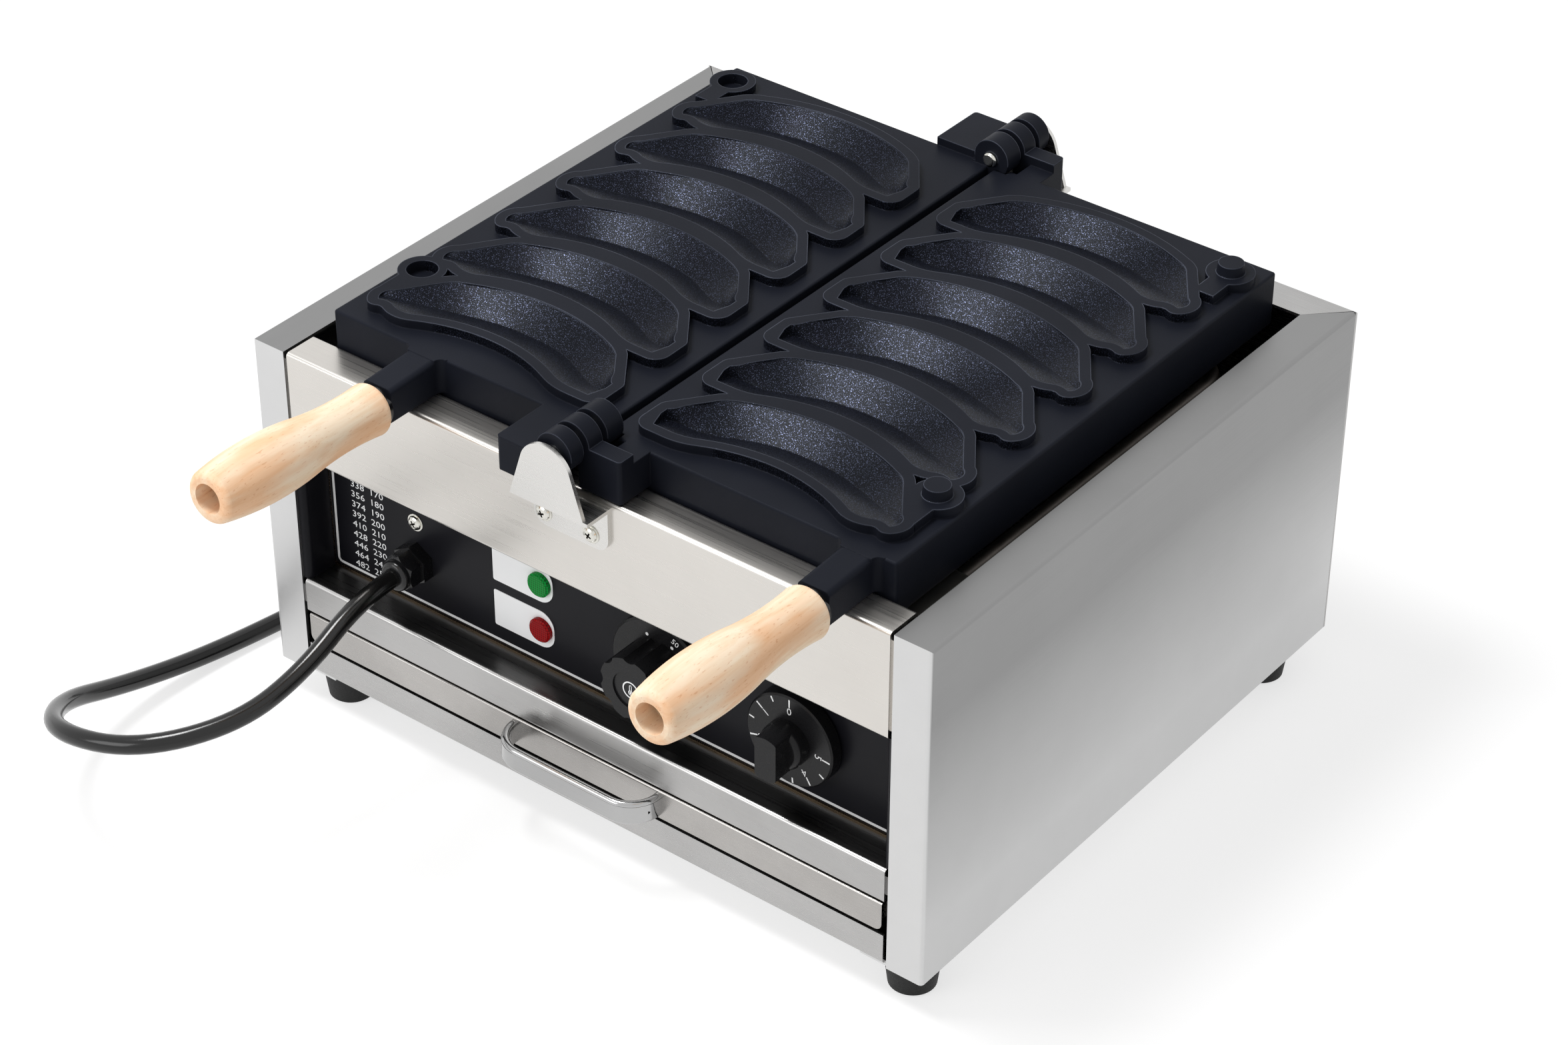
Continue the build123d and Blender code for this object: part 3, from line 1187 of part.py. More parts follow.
def coil_station(turn):
    """Place and direction of the coil's centre line after some turns, counted from its start."""
    pitch = CORD_DIAMETER + COIL_GAP
    reversal = COIL_LOWER_TURNS + 0.25
    wound = turn if turn <= reversal else 2 * reversal - turn
    radius = COIL_OUTER_RADIUS - pitch * wound
    growth = 0.0 if turn == reversal else (-pitch if turn < reversal else pitch)
    climb = min(max((turn - COIL_LOWER_TURNS) / 0.5, 0.0), 1.0)
    height = COIL_HEIGHT + pitch * climb
    rise = 4 * pitch if turn == reversal else 0.0
    if turn > COIL_TURNS:
        radius = COIL_EXIT_RADIUS
        growth = 0.0
        height = PLUG_RADIUS
    angle = 2 * math.pi * turn
    place = Vector(COIL_CENTRE_X + radius * math.cos(angle), COIL_CENTRE_Y + radius * math.sin(angle), height)
    along = Vector(
        growth * math.cos(angle) - 2 * math.pi * radius * math.sin(angle),
        growth * math.sin(angle) + 2 * math.pi * radius * math.cos(angle),
        rise,
    )
    return place, along.normalized()


def biarc(start, start_way, end, end_way):
    """Two arcs, tangent to each other, that join two places in their given directions."""
    chord = end - start
    both = start_way + end_way
    a = 2 * (1 - start_way.dot(end_way))
    b = 2 * chord.dot(both)
    reach = (-b + math.sqrt(b * b + 4 * a * chord.dot(chord))) / (2 * a)
    joint = (start + end + (start_way - end_way) * reach) * 0.5
    joint_way = (joint - start - start_way * reach).normalized()
    first = Edge.make_tangent_arc(start, start_way, joint)
    return [first, Edge.make_tangent_arc(joint, joint_way, end)]


def coil():
    """The put-away length: one tube that winds inwards below and outwards above."""
    quarters = round(COIL_TURNS * 4) + 1
    stations = [coil_station(quarter / 4) for quarter in range(quarters + 1)]
    begin, begin_way = stations[0]
    finish, finish_way = stations[-1]
    edges = []
    for (start, start_way), (end, end_way) in zip(stations, stations[1:]):
        edges += biarc(start, start_way, end, end_way)
    edges.append(Edge.make_line(finish, finish + finish_way * CORD_DIAMETER))
    path = Wire(edges)
    print("coil length", round(path.length), "least gap", round(coil_least_gap(path), 2))
    return cord_tube(path, begin, begin_way)


def coil_least_gap(path):
    """Smallest free distance between parts of the coil that are over half a turn apart."""
    count = 240
    points = [path @ (index / count) for index in range(count + 1)]
    apart = round(count * COIL_OUTER_RADIUS * math.pi / path.length)
    distances = [
        (points[i] - points[j]).length
        for i in range(count + 1) for j in range(i + apart, count + 1)
    ]
    return min(distances) - CORD_DIAMETER


def cord_tie():
    """Strap round the bundle of turns on the coil's left."""
    pitch = CORD_DIAMETER + COIL_GAP
    x0 = COIL_CENTRE_X - COIL_OUTER_RADIUS + pitch * 0.5 - CORD_DIAMETER / 2 - TIE_CLEARANCE
    x1 = COIL_CENTRE_X - COIL_OUTER_RADIUS + pitch * 1.5 + CORD_DIAMETER / 2 + TIE_CLEARANCE
    z0 = TIE_THICKNESS + 0.1
    z1 = COIL_HEIGHT + pitch + CORD_DIAMETER / 2 + TIE_CLEARANCE
    y0 = COIL_CENTRE_Y - TIE_WIDTH / 2
    y1 = COIL_CENTRE_Y + TIE_WIDTH / 2
    t = TIE_THICKNESS
    outer = block(x0 - t, x1 + t, y0, y1, z0 - t, z1 + t)
    outer = fillet(outer.edges().filter_by(Axis.Y), 3)
    inner = block(x0, x1, y0 - 1, y1 + 1, z0, z1)
    return outer - fillet(inner.edges().filter_by(Axis.Y), 2)


def plug_plane():
    """Plane at the cord's end whose normal runs on into the plug."""
    finish, way = coil_station(COIL_TURNS + 0.25)
    return Plane(origin=finish + way * CORD_DIAMETER, x_dir=(0, 1, 0), z_dir=way)


def power_plug():
    """Moulded plug: tapered strain relief, rounded body."""
    neck = PLUG_RELIEF_LENGTH
    end = neck + PLUG_BODY_LENGTH
    half = CORD_DIAMETER / 2
    profile = Polyline((0, 0), (half + 1.0, 0), (half + 3.0, neck))
    shoulder = Polyline((half + 3.0, neck), (PLUG_RADIUS * 0.82, neck + 5), (PLUG_RADIUS, neck + 14))
    closing = Polyline((PLUG_RADIUS, neck + 14), (PLUG_RADIUS, end - 1), (PLUG_RADIUS - 1, end), (0, end), (0, 0))
    body = revolve(Plane.XZ * make_face(profile + shoulder + closing), axis=Axis.Z)
    return plug_plane() * body


def plug_pins():
    end = PLUG_RELIEF_LENGTH + PLUG_BODY_LENGTH
    pins = []
    for side in (1, -1):
        pin = Cylinder(PLUG_PIN_RADIUS, PLUG_PIN_LENGTH, align=(Align.CENTER, Align.CENTER, Align.MIN))
        pin = chamfer(pin.edges().sort_by(Axis.Z)[-1], PLUG_PIN_RADIUS * 0.4)
        pins.append(plug_plane() * Pos(side * PLUG_PIN_SPACING / 2, 0, end) * pin)
    return group(pins)


# All pieces by name

def pieces():
    """Every sub-part in the housing's frame."""
    right_baffle = heat_baffle()
    right_element = element()
    upper, lower = lamp_heights()
    front_bracket = hinge_bracket()
    front_pin = hinge_pin()
    screws = bracket_screws()
    named = {
        "base_plate": base_plate(),
        "left_side_panel": mirrored_x(side_panel(FOOT_INSET_LEFT)),
        "right_side_panel": side_panel(FOOT_INSET_RIGHT),
        "rear_panel": rear_panel(),
        "front_apron": front_apron(),
        "lower_rail": lower_rail(),
        "control_panel": control_panel(),
        "panel_screw": panel_screw(),
        "heat_shield": heat_shield(),
        "left_heat_baffle": mirrored_x(right_baffle),
        "right_heat_baffle": right_baffle,
        "left_heating_element": mirrored_x(right_element),
        "right_heating_element": right_element,
        "element_supports": element_supports(),
        "thermostat_body": control_body(THERMOSTAT_X),
        "thermostat_capillary": capillary(),
        "thermostat_sensor": sensor(),
        "timer_body": control_body(TIMER_X),
        "terminal_block": terminal_block(),
        "earth_stud": earth_stud(),
        "green_lamp_lens": lamp_lens(upper),
        "red_lamp_lens": lamp_lens(lower),
        "green_lamp_body": lamp_body(upper),
        "red_lamp_body": lamp_body(lower),
        "thermostat_knob": thermostat_knob(),
        "timer_knob": timer_knob(),
        "gland_body": gland_body(),
        "gland_dome_nut": gland_dome_nut(),
        "gland_locknut": gland_locknut(),
        "inner_lead": inner_lead(),
        "crumb_tray": crumb_tray(),
        "tray_handle": tray_handle(),
        "tray_handle_screws": tray_handle_screws(),
        "left_tray_runner": mirrored_x(tray_runner(FOOT_INSET_LEFT)),
        "right_tray_runner": tray_runner(FOOT_INSET_RIGHT),
        "foot_screws": foot_screws(),
        "left_mould_plate": left_plate(),
        "right_mould_plate": right_plate(),
        "front_hinge_pin": front_pin,
        "rear_hinge_pin": mirrored_y(front_pin),
        "front_hinge_bracket": front_bracket,
        "rear_hinge_bracket": mirrored_y(front_bracket),
        "bracket_screws": group(screws + [mirrored_y(screw) for screw in screws]),
    }
    for row, y in zip(("front", "rear"), foot_rows()):
        for side, x in zip(("left", "right"), foot_columns()):
            named[f"foot_{row}_{side}"] = foot(x, y)
    for side, x in (("left", left_handle_x()), ("right", right_handle_x())):
        named[f"{side}_handle_rod"] = on_handle(x, handle_rod())
        named[f"{side}_ferrule"] = on_handle(x, ferrule())
        named[f"{side}_grip"] = on_handle(x, grip())
        named[f"{side}_grip_nut"] = on_handle(x, grip_nut())
    return named


def cord_pieces():
    return {
        "power_cord": power_cord(),
        "power_cord_coil": coil(),
        "cord_tie": cord_tie(),
        "power_plug": power_plug(),
        "plug_pins": plug_pins(),
    }


def main():
    body = pieces()
    boxes = [shape.bounding_box() for shape in body.values()]
    middle = (min(box.min.Y for box in boxes) + max(box.max.Y for box in boxes)) / 2
    centre = Pos(0, -middle, 0)
    print("centred on y", round(middle, 3))
    os.makedirs("parts", exist_ok=True)
    for name, shape in {**body, **cord_pieces()}.items():
        export_step(centre * shape, f"parts/{name}.step")


main()
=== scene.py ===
import json
import math

import bpy
import bmesh
from mathutils import Matrix, Vector


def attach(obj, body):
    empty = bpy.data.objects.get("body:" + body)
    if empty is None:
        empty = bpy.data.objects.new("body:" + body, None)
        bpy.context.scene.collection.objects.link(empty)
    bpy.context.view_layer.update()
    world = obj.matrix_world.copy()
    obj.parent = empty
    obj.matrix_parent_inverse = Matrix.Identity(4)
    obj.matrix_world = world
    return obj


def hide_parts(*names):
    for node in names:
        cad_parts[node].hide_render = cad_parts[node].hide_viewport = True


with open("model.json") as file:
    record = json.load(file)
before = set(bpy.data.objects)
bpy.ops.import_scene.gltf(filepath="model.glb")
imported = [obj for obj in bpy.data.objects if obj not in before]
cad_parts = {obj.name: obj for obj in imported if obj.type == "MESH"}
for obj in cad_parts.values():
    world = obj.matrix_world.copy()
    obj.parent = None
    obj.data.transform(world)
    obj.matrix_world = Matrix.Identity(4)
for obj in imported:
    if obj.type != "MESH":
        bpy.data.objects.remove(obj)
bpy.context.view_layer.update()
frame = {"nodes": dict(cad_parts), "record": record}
nodes = frame["nodes"]
scene = bpy.context.scene

# The CAD frame's Y is the housing's depth from its front face, less this
FRONT_Y = 119.946


def at(x, y, z):
    """Millimetres from the housing's front face and the floor, in metres of the frame."""
    return Vector((x / 1000, (y - FRONT_Y) / 1000, z / 1000))


# Camera, from the photograph

PHOTO_WIDTH = 2352
FOCAL_PIXELS = 5740.94
SENSOR_WIDTH = 36.0
CAMERA_PLACE = (0.94286, -1.176475, 1.184806)

camera_data = bpy.data.cameras.new("camera")
camera_data.sensor_width = SENSOR_WIDTH
camera_data.lens = FOCAL_PIXELS * SENSOR_WIDTH / PHOTO_WIDTH
camera_data.clip_start = 0.05
camera_data.clip_end = 50
camera = bpy.data.objects.new("camera", camera_data)
right = Vector((0.787766, 0.615966, 0.003069))
down = Vector((0.357171, -0.45272, -0.81699))
forward = Vector((-0.501849, 0.644694, -0.576643))
turn = Matrix((right, -down, -forward)).transposed()
camera.matrix_world = Matrix.Translation(CAMERA_PLACE) @ turn.to_4x4()
scene.collection.objects.link(camera)
scene.camera = camera

# Mains cord: its free part, then the coil that the photograph doesn't show

CORD_DIAMETER = 9.5
CORD_EXIT = (-119.4, 1.6, 101.4)
cord_route = [
    CORD_EXIT,
    (-119.4, -22.4, 101.4),
    (-119.0, -62.0, 83.0),
    (-122.0, -104.0, 76.0),
    (-151.0, -144.0, 71.0),
    (-201.0, -150.0, 62.0),
    (-237.0, -115.0, 41.0),
    (-245.0, -65.0, 17.0),
    (-241.0, -12.0, 6.0),
    (-231.0, 48.0, 4.9),
    (-222.0, 111.0, 5.0),
    (-214.8, 175.0, 6.2),
]
COIL_CENTRE = (-276.0, 235.0)
COIL_RADIUS = 59.6
COIL_PITCH = 10.1
COIL_STEPS = 16
COIL_HEIGHT = 6.2
# In turns from the coil's start: its innermost point, the lift to its upper layer, the way to the plug
INWARD_TURNS = 1.75
LIFT_FROM, LIFT_TURNS = 1.5, 0.5
LEAVE_FROM, COIL_TURNS = 3.0, 3.25
LEAVE_RADIUS = 84.0
PLUG_END = (-285.5, 319.0, 17.5)


def coil_point(turns):
    """Control point of the coil's line after some turns; it winds in below and out above."""
    wound = min(turns, 2 * INWARD_TURNS - turns)
    radius = COIL_RADIUS - COIL_PITCH * wound
    height = COIL_HEIGHT + COIL_PITCH * min(max((turns - LIFT_FROM) / LIFT_TURNS, 0.0), 1.0)
    if turns > LEAVE_FROM:
        share = (turns - LEAVE_FROM) / (COIL_TURNS - LEAVE_FROM)
        radius += (LEAVE_RADIUS - radius) * share ** 1.5
        height += (PLUG_END[2] - height) * share
    # The curve runs a little inside its control points
    radius /= (3 + math.cos(2 * math.pi / COIL_STEPS)) / 4
    angle = 2 * math.pi * turns
    x, y = COIL_CENTRE
    return (x + radius * math.cos(angle), y + radius * math.sin(angle), height)


coil_steps = range(round(COIL_TURNS * COIL_STEPS) + 1)
cord_points = [*cord_route, *(coil_point(step / COIL_STEPS) for step in coil_steps), PLUG_END]
cord_curve = bpy.data.curves.new("mains_cord", "CURVE")
cord_curve.dimensions = "3D"
spline = cord_curve.splines.new("NURBS")
spline.points.add(len(cord_points) - 1)
for point, place in zip(spline.points, cord_points):
    point.co = (*at(*place), 1)
    # The thickness is in the points, because Blender's box of a curve grows by their radius
    point.radius = CORD_DIAMETER / 2000
spline.order_u = 3
spline.use_endpoint_u = True
spline.resolution_u = 8
cord_curve.bevel_depth = 1.0
cord_curve.bevel_resolution = 5
cord_curve.use_fill_caps = True
cord = bpy.data.objects.new("mains_cord", cord_curve)
scene.collection.objects.link(cord)
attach(cord, "housing")
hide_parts("power_cord", "power_cord_coil")

# Materials


def shader_graph(name):
    """New node material: the material, its tree and its shader."""
    material = bpy.data.materials.new(name)
    material.use_nodes = True
    tree = material.node_tree
    return material, tree, tree.nodes["Principled BSDF"]


def pattern(tree, kind, scale, stretch=(1, 1, 1), **values):
    """Procedural texture in the object's own coordinates, in features per metre; its node."""
    place = tree.nodes.new("ShaderNodeTexCoord")
    mapping = tree.nodes.new("ShaderNodeMapping")
    mapping.inputs["Scale"].default_value = stretch
    texture = tree.nodes.new(kind)
    texture.inputs["Scale"].default_value = scale
    for key, value in values.items():
        texture.inputs[key.replace("_", " ")].default_value = value
    tree.links.new(place.outputs["Object"], mapping.inputs["Vector"])
    tree.links.new(mapping.outputs["Vector"], texture.inputs["Vector"])
    return texture


def ramp(tree, source, stops):
    """Colour ramp over a value."""
    node = tree.nodes.new("ShaderNodeValToRGB")
    elements = node.color_ramp.elements
    while len(elements) < len(stops):
        elements.new(0.5)
    for element, (position, colour) in zip(elements, stops):
        element.position = position
        element.color = (*colour, 1)
    tree.links.new(source, node.inputs["Fac"])
    return node.outputs["Color"]


def spread(tree, source, low, high, start=0.3, end=0.7):
    """Value mapped from one range to another."""
    node = tree.nodes.new("ShaderNodeMapRange")
    node.inputs["From Min"].default_value = start
    node.inputs["From Max"].default_value = end
    node.inputs["To Min"].default_value = low
    node.inputs["To Max"].default_value = high
    tree.links.new(source, node.inputs["Value"])
    return node.outputs["Result"]


def blended(tree, kind, first, second, factor):
    """Two colours mixed; factor is a number or a socket."""
    node = tree.nodes.new("ShaderNodeMix")
    node.data_type = "RGBA"
    node.blend_type = kind
    if isinstance(factor, float):
        node.inputs["Factor"].default_value = factor
    else:
        tree.links.new(factor, node.inputs["Factor"])
    for socket, value in (("A", first), ("B", second)):
        if isinstance(value, tuple):
            node.inputs[socket].default_value = (*value, 1)
        else:
            tree.links.new(value, node.inputs[socket])
    return node.outputs["Result"]


def combined(tree, operation, *sources, clamp=False):
    """Sockets joined by one math operation."""
    node = tree.nodes.new("ShaderNodeMath")
    node.operation = operation
    node.use_clamp = clamp
    for socket, source in zip(node.inputs, sources):
        tree.links.new(source, socket)
    return node.outputs[0]


def product(tree, first, second):
    return combined(tree, "MULTIPLY", first, second)


def coordinate(tree, source, axis, absolute=False):
    """One coordinate of the object's own position ("Object") or normal ("Normal")."""
    place = tree.nodes.new("ShaderNodeTexCoord")
    split = tree.nodes.new("ShaderNodeSeparateXYZ")
    tree.links.new(place.outputs[source], split.inputs["Vector"])
    value = split.outputs[axis]
    return combined(tree, "ABSOLUTE", value) if absolute else value


def faced(tree, axis):
    """0 on faces that look along an axis of the object, else 1."""
    return spread(tree, coordinate(tree, "Normal", axis, absolute=True), 1.0, 0.0, 0.3, 0.7)


def inside(tree, axis, low, high, soft):
    """1 between two values of a coordinate and 0 outside them; the absolute value of X is taken."""
    value = coordinate(tree, "Object", axis, absolute=axis == "X")
    rising = spread(tree, value, 0.0, 1.0, low - soft, low)
    falling = spread(tree, value, 1.0, 0.0, high, high + soft)
    return product(tree, rising, falling)


def worn_edges(tree, radius, low, high):
    """1 along the sharp edges of the object and 0 on its faces."""
    rounded = tree.nodes.new("ShaderNodeBevel")
    rounded.samples = 6
    rounded.inputs["Radius"].default_value = radius
    face = tree.nodes.new("ShaderNodeNewGeometry")
    dot = tree.nodes.new("ShaderNodeVectorMath")
    dot.operation = "DOT_PRODUCT"
    tree.links.new(rounded.outputs["Normal"], dot.inputs[0])
    tree.links.new(face.outputs["Normal"], dot.inputs[1])
    return spread(tree, dot.outputs["Value"], 1.0, 0.0, low, high)


def bump(tree, shader, source, distance, strength=1.0, edge=0.0):
    """Relief from a value, over edges that look rounded to the radius edge."""
    node = tree.nodes.new("ShaderNodeBump")
    if edge:
        rounded = tree.nodes.new("ShaderNodeBevel")
        rounded.samples = 4
        rounded.inputs["Radius"].default_value = edge
        tree.links.new(rounded.outputs["Normal"], node.inputs["Normal"])
    node.inputs["Distance"].default_value = distance
    node.inputs["Strength"].default_value = strength
    tree.links.new(source, node.inputs["Height"])
    tree.links.new(node.outputs["Normal"], shader.inputs["Normal"])


def steel(name, colour, rough, axis=0, stain=0.06, brush=0.04, shade=None):
    """Satin sheet steel: fine brushing along one axis, faint cloudy stains, and an optional slow painted
    shade.

    shade is (axis, start, end, factor, spared): a painted shade, where along the axis the colour changes
    to factor times itself between two positions, but not on faces that look along the spared axis.
    """
    material, tree, shader = shader_graph(name)
    stretch = [1500.0, 1500.0, 1500.0]
    stretch[axis] = 12.0
    grain = pattern(tree, "ShaderNodeTexNoise", 1.0, stretch, Detail=2.0).outputs["Fac"]
    cloud = pattern(tree, "ShaderNodeTexNoise", 14.0, Detail=4.0, Roughness=0.6).outputs["Fac"]
    dull = tuple(part * (1 - stain) for part in colour)
    light = tuple(min(part * (1 + stain * 0.5), 1.0) for part in colour)
    stained = ramp(tree, cloud, [(0.35, dull), (0.65, light)])
    low = 1 - brush
    lines = ramp(tree, grain, [(0.3, (low, low, low)), (0.7, (1.0, 1.0, 1.0))])
    result = blended(tree, "MULTIPLY", stained, lines, 1.0)
    if shade:
        along, start, end, factor, spared = shade
        share = spread(tree, coordinate(tree, "Object", along), 0.0, 1.0, start, end)
        if spared:
            share = product(tree, share, faced(tree, spared))
        result = blended(tree, "MULTIPLY", result, (factor, factor, factor), share)
    tree.links.new(result, shader.inputs["Base Color"])
    tree.links.new(spread(tree, grain, rough[0], rough[1]), shader.inputs["Roughness"])
    shader.inputs["Metallic"].default_value = 1.0
    bump(tree, shader, grain, 0.000004, 0.3)
    return material


def moulded(name, colour, rough, depth=0.00001, metallic=0.0, specular=0.5, vary=0.2):
    """Moulded, plated or painted surface with a fine even grain; vary is its cloudy darkening."""
    material, tree, shader = shader_graph(name)
    fine = pattern(tree, "ShaderNodeTexNoise", 1500.0, Detail=3.0).outputs["Fac"]
    cloud = pattern(tree, "ShaderNodeTexNoise", 30.0, Detail=3.0).outputs["Fac"]
    dark = tuple(part * (1 - vary) for part in colour)
    tree.links.new(ramp(tree, cloud, [(0.3, dark), (0.7, colour)]), shader.inputs["Base Color"])
    tree.links.new(spread(tree, fine, rough[0], rough[1]), shader.inputs["Roughness"])
    shader.inputs["Metallic"].default_value = metallic
    shader.inputs["Specular IOR Level"].default_value = specular
    bump(tree, shader, fine, depth)
    return material


# Where the hollows and the tops of the ribs are, in metres of the frame; X is the distance from the middle
HOLLOW_X = (0.012, 0.156)
HOLLOW_Y = ((36 - FRONT_Y) / 1000, (312 - FRONT_Y) / 1000)
HOLLOW_Z = (0.190, 0.2312)
RIB_TOP = (0.2302, 0.26)


def casting():
    """Black non-stick coating: matt flats, glinting sand-cast grit over painted shade in the hollows, and
    painted highlights on rib edges.
    """
    material, tree, shader = shader_graph("non_stick_casting")
    sand = pattern(tree, "ShaderNodeTexNoise", 1500.0, Detail=3.0, Roughness=0.6).outputs["Fac"]
    grit = pattern(tree, "ShaderNodeTexNoise", 1900.0, Detail=2.0).outputs["Fac"]
    cloud = pattern(tree, "ShaderNodeTexNoise", 16.0, Detail=3.0).outputs["Fac"]
    sloped = spread(tree, coordinate(tree, "Normal", "Z"), 1.0, 0.0, 0.975, 0.99)
    length = product(tree, sloped, inside(tree, "Y", *HOLLOW_Y, 0.001))
    bank = product(tree, inside(tree, "X", *HOLLOW_X, 0.001), inside(tree, "Z", *HOLLOW_Z, 0.0003))
    hollow = product(tree, length, bank)
    flat = ramp(tree, cloud, [(0.3, (0.0068, 0.0078, 0.0120)), (0.7, (0.0108, 0.0122, 0.0182))])
    # Painted shade: the hollows' sloped walls are painted darker than the flats
    body = blended(tree, "MIX", flat, (0.0035, 0.0040, 0.0062), hollow)
    flecks = product(tree, spread(tree, grit, 0.0, 1.0, 0.55, 0.70), hollow)
    grit_over_painted_shade = blended(tree, "MIX", body, (0.060, 0.069, 0.108), flecks)
    # Painted highlight: sharp edges on the rib tops are painted lighter, in cloudy patches
    rib_edges = product(tree, worn_edges(tree, 0.0010, 0.80, 0.97), inside(tree, "Z", *RIB_TOP, 0.0006))
    painted_edge_highlight = product(tree, rib_edges, spread(tree, cloud, 0.45, 1.0, 0.4, 0.6))
    tree.links.new(blended(tree, "MIX", grit_over_painted_shade, (0.110, 0.122, 0.160), painted_edge_highlight), shader.inputs["Base Color"])
    tree.links.new(flecks, shader.inputs["Metallic"])
    rough = spread(tree, hollow, 0.44, 0.30, 0.0, 1.0)
    uneven = combined(tree, "ADD", rough, spread(tree, sand, -0.05, 0.05))
    tree.links.new(uneven, shader.inputs["Roughness"])
    shader.inputs["Specular IOR Level"].default_value = 0.07
    shader.inputs["Specular Tint"].default_value = (0.84, 0.89, 1.0, 1.0)
    relief = product(tree, sand, spread(tree, hollow, 0.35, 1.0, 0.0, 1.0))
    bump(tree, shader, relief, 0.00010, 0.6, 0.0009)
    return material


def beech():
    """Pale turned beech: long soft grain, fine pores and short flecks along the handle."""
    material, tree, shader = shader_graph("beech")
    noise = "ShaderNodeTexNoise"
    grain = pattern(tree, noise, 1.0, (420.0, 14.0, 420.0), Detail=5.0, Roughness=0.6).outputs["Fac"]
    bands = pattern(tree, noise, 1.0, (75.0, 16.0, 75.0), Detail=3.0).outputs["Fac"]
    flecks = pattern(tree, noise, 1.0, (1300.0, 260.0, 1300.0), Detail=1.0).outputs["Fac"]
    tint = ramp(tree, bands, [(0.38, (0.95, 0.60, 0.365)), (0.60, (1.0, 0.825, 0.625))])
    streaks = ramp(tree, grain, [(0.34, (0.93, 0.86, 0.78)), (0.56, (1.0, 1.0, 1.0))])
    specks = ramp(tree, flecks, [(0.28, (0.74, 0.52, 0.38)), (0.35, (1.0, 1.0, 1.0))])
    streaked = blended(tree, "MULTIPLY", tint, streaks, 0.85)
    tree.links.new(blended(tree, "MULTIPLY", streaked, specks, 0.45), shader.inputs["Base Color"])
    tree.links.new(spread(tree, grain, 0.46, 0.62), shader.inputs["Roughness"])
    shader.inputs["Specular IOR Level"].default_value = 0.3
    bump(tree, shader, grain, 0.00006, 0.5)
    return material


def lens(name, colour, deep):
    """Prismatic signal lens: a square grid of small pyramids under clear plastic."""
    material, tree, shader = shader_graph(name)
    facets = pattern(tree, "ShaderNodeTexVoronoi", 800.0, Randomness=0.0).outputs["Distance"]
    tree.links.new(ramp(tree, facets, [(0.15, colour), (0.7, deep)]), shader.inputs["Base Color"])
    shader.inputs["Roughness"].default_value = 0.2
    shader.inputs["Specular IOR Level"].default_value = 0.1
    bump(tree, shader, facets, 0.0003)
    return material


def paint(node, material):
    """The node's slots all take one material."""
    mesh = nodes[node].data
    mesh.materials.clear()
    mesh.materials.append(material)


# Painted shade: the sides are painted lighter towards the floor for their reflection of it, and the ledge
# is painted dark behind its edge for the shade in the recess
painted_side_shade = ("Z", 0.05, 0.165, 0.45, "Y")
painted_ledge_shade = ("Y", (1.2 - FRONT_Y) / 1000, (2.4 - FRONT_Y) / 1000, 0.3, None)
apron_steel = steel("apron_steel", (0.66, 0.635, 0.60), (0.26, 0.34), stain=0.035, brush=0.03)
side_steel = steel("side_steel", (0.63, 0.63, 0.63), (0.30, 0.38), 1, 0.03, 0.02, painted_side_shade)
rail_steel = steel("rail_steel", (0.44, 0.435, 0.43), (0.26, 0.34), 0, 0.08, 0.05, painted_ledge_shade)
sheet_steel = steel("sheet_steel", (0.46, 0.455, 0.45), (0.24, 0.32), 0, 0.08, 0.05)
tray_steel = steel("tray_steel", (0.43, 0.415, 0.40), (0.22, 0.30), 0, 0.12, 0.05)
inner_steel = steel("inner_sheet", (0.32, 0.31, 0.29), (0.35, 0.5))
bracket_steel = steel("bracket_steel", (0.68, 0.67, 0.65), (0.24, 0.32), 0, 0.03, 0.03)
handle_steel = steel("handle_steel", (0.44, 0.44, 0.44), (0.10, 0.16), 0, 0.03, 0.02)
bright = moulded("bright_plated", (0.66, 0.65, 0.60), (0.12, 0.20), metallic=1.0, vary=0.06)
painted_recess_shade = moulded("painted_recess_shade", (0.10, 0.09, 0.08), (0.3, 0.4), metallic=1.0)
panel_black = moulded("black_panel", (0.009, 0.009, 0.012), (0.30, 0.36), depth=0.000004, specular=0.10)
knob_black = moulded("black_knob", (0.010, 0.010, 0.011), (0.26, 0.34), depth=0.000006, specular=0.2)
gland_black = moulded("gland_nylon", (0.007, 0.007, 0.008), (0.20, 0.28), specular=0.40)
ferrule_black = moulded("ferrule_gloss", (0.008, 0.008, 0.009), (0.14, 0.20), specular=0.5)
rubber = moulded("foot_rubber", (0.012, 0.012, 0.012), (0.5, 0.7), depth=0.00004, specular=0.3)
jacket = moulded("cord_jacket", (0.006, 0.006, 0.006), (0.14, 0.20), depth=0.000006, specular=0.45)
switch_grey = moulded("switch_body", (0.12, 0.12, 0.12), (0.4, 0.6))
element_dark = moulded("element_sheath", (0.20, 0.18, 0.165), (0.4, 0.55), metallic=1.0, vary=0.45)
brass = moulded("pin_metal", (0.72, 0.70, 0.64), (0.15, 0.25), metallic=1.0)
seam_brown = moulded("seam_brown", (0.26, 0.19, 0.12), (0.2, 0.3), metallic=1.0)
ink = moulded("white_ink", (0.96, 0.97, 0.98), (0.35, 0.45), vary=0.04)
cast_black = casting()
wood = beech()
green = lens("green_lens", (0.0, 0.44, 0.06), (0.0, 0.12, 0.015))
red = lens("red_lens", (0.48, 0.004, 0.006), (0.15, 0.0, 0.001))

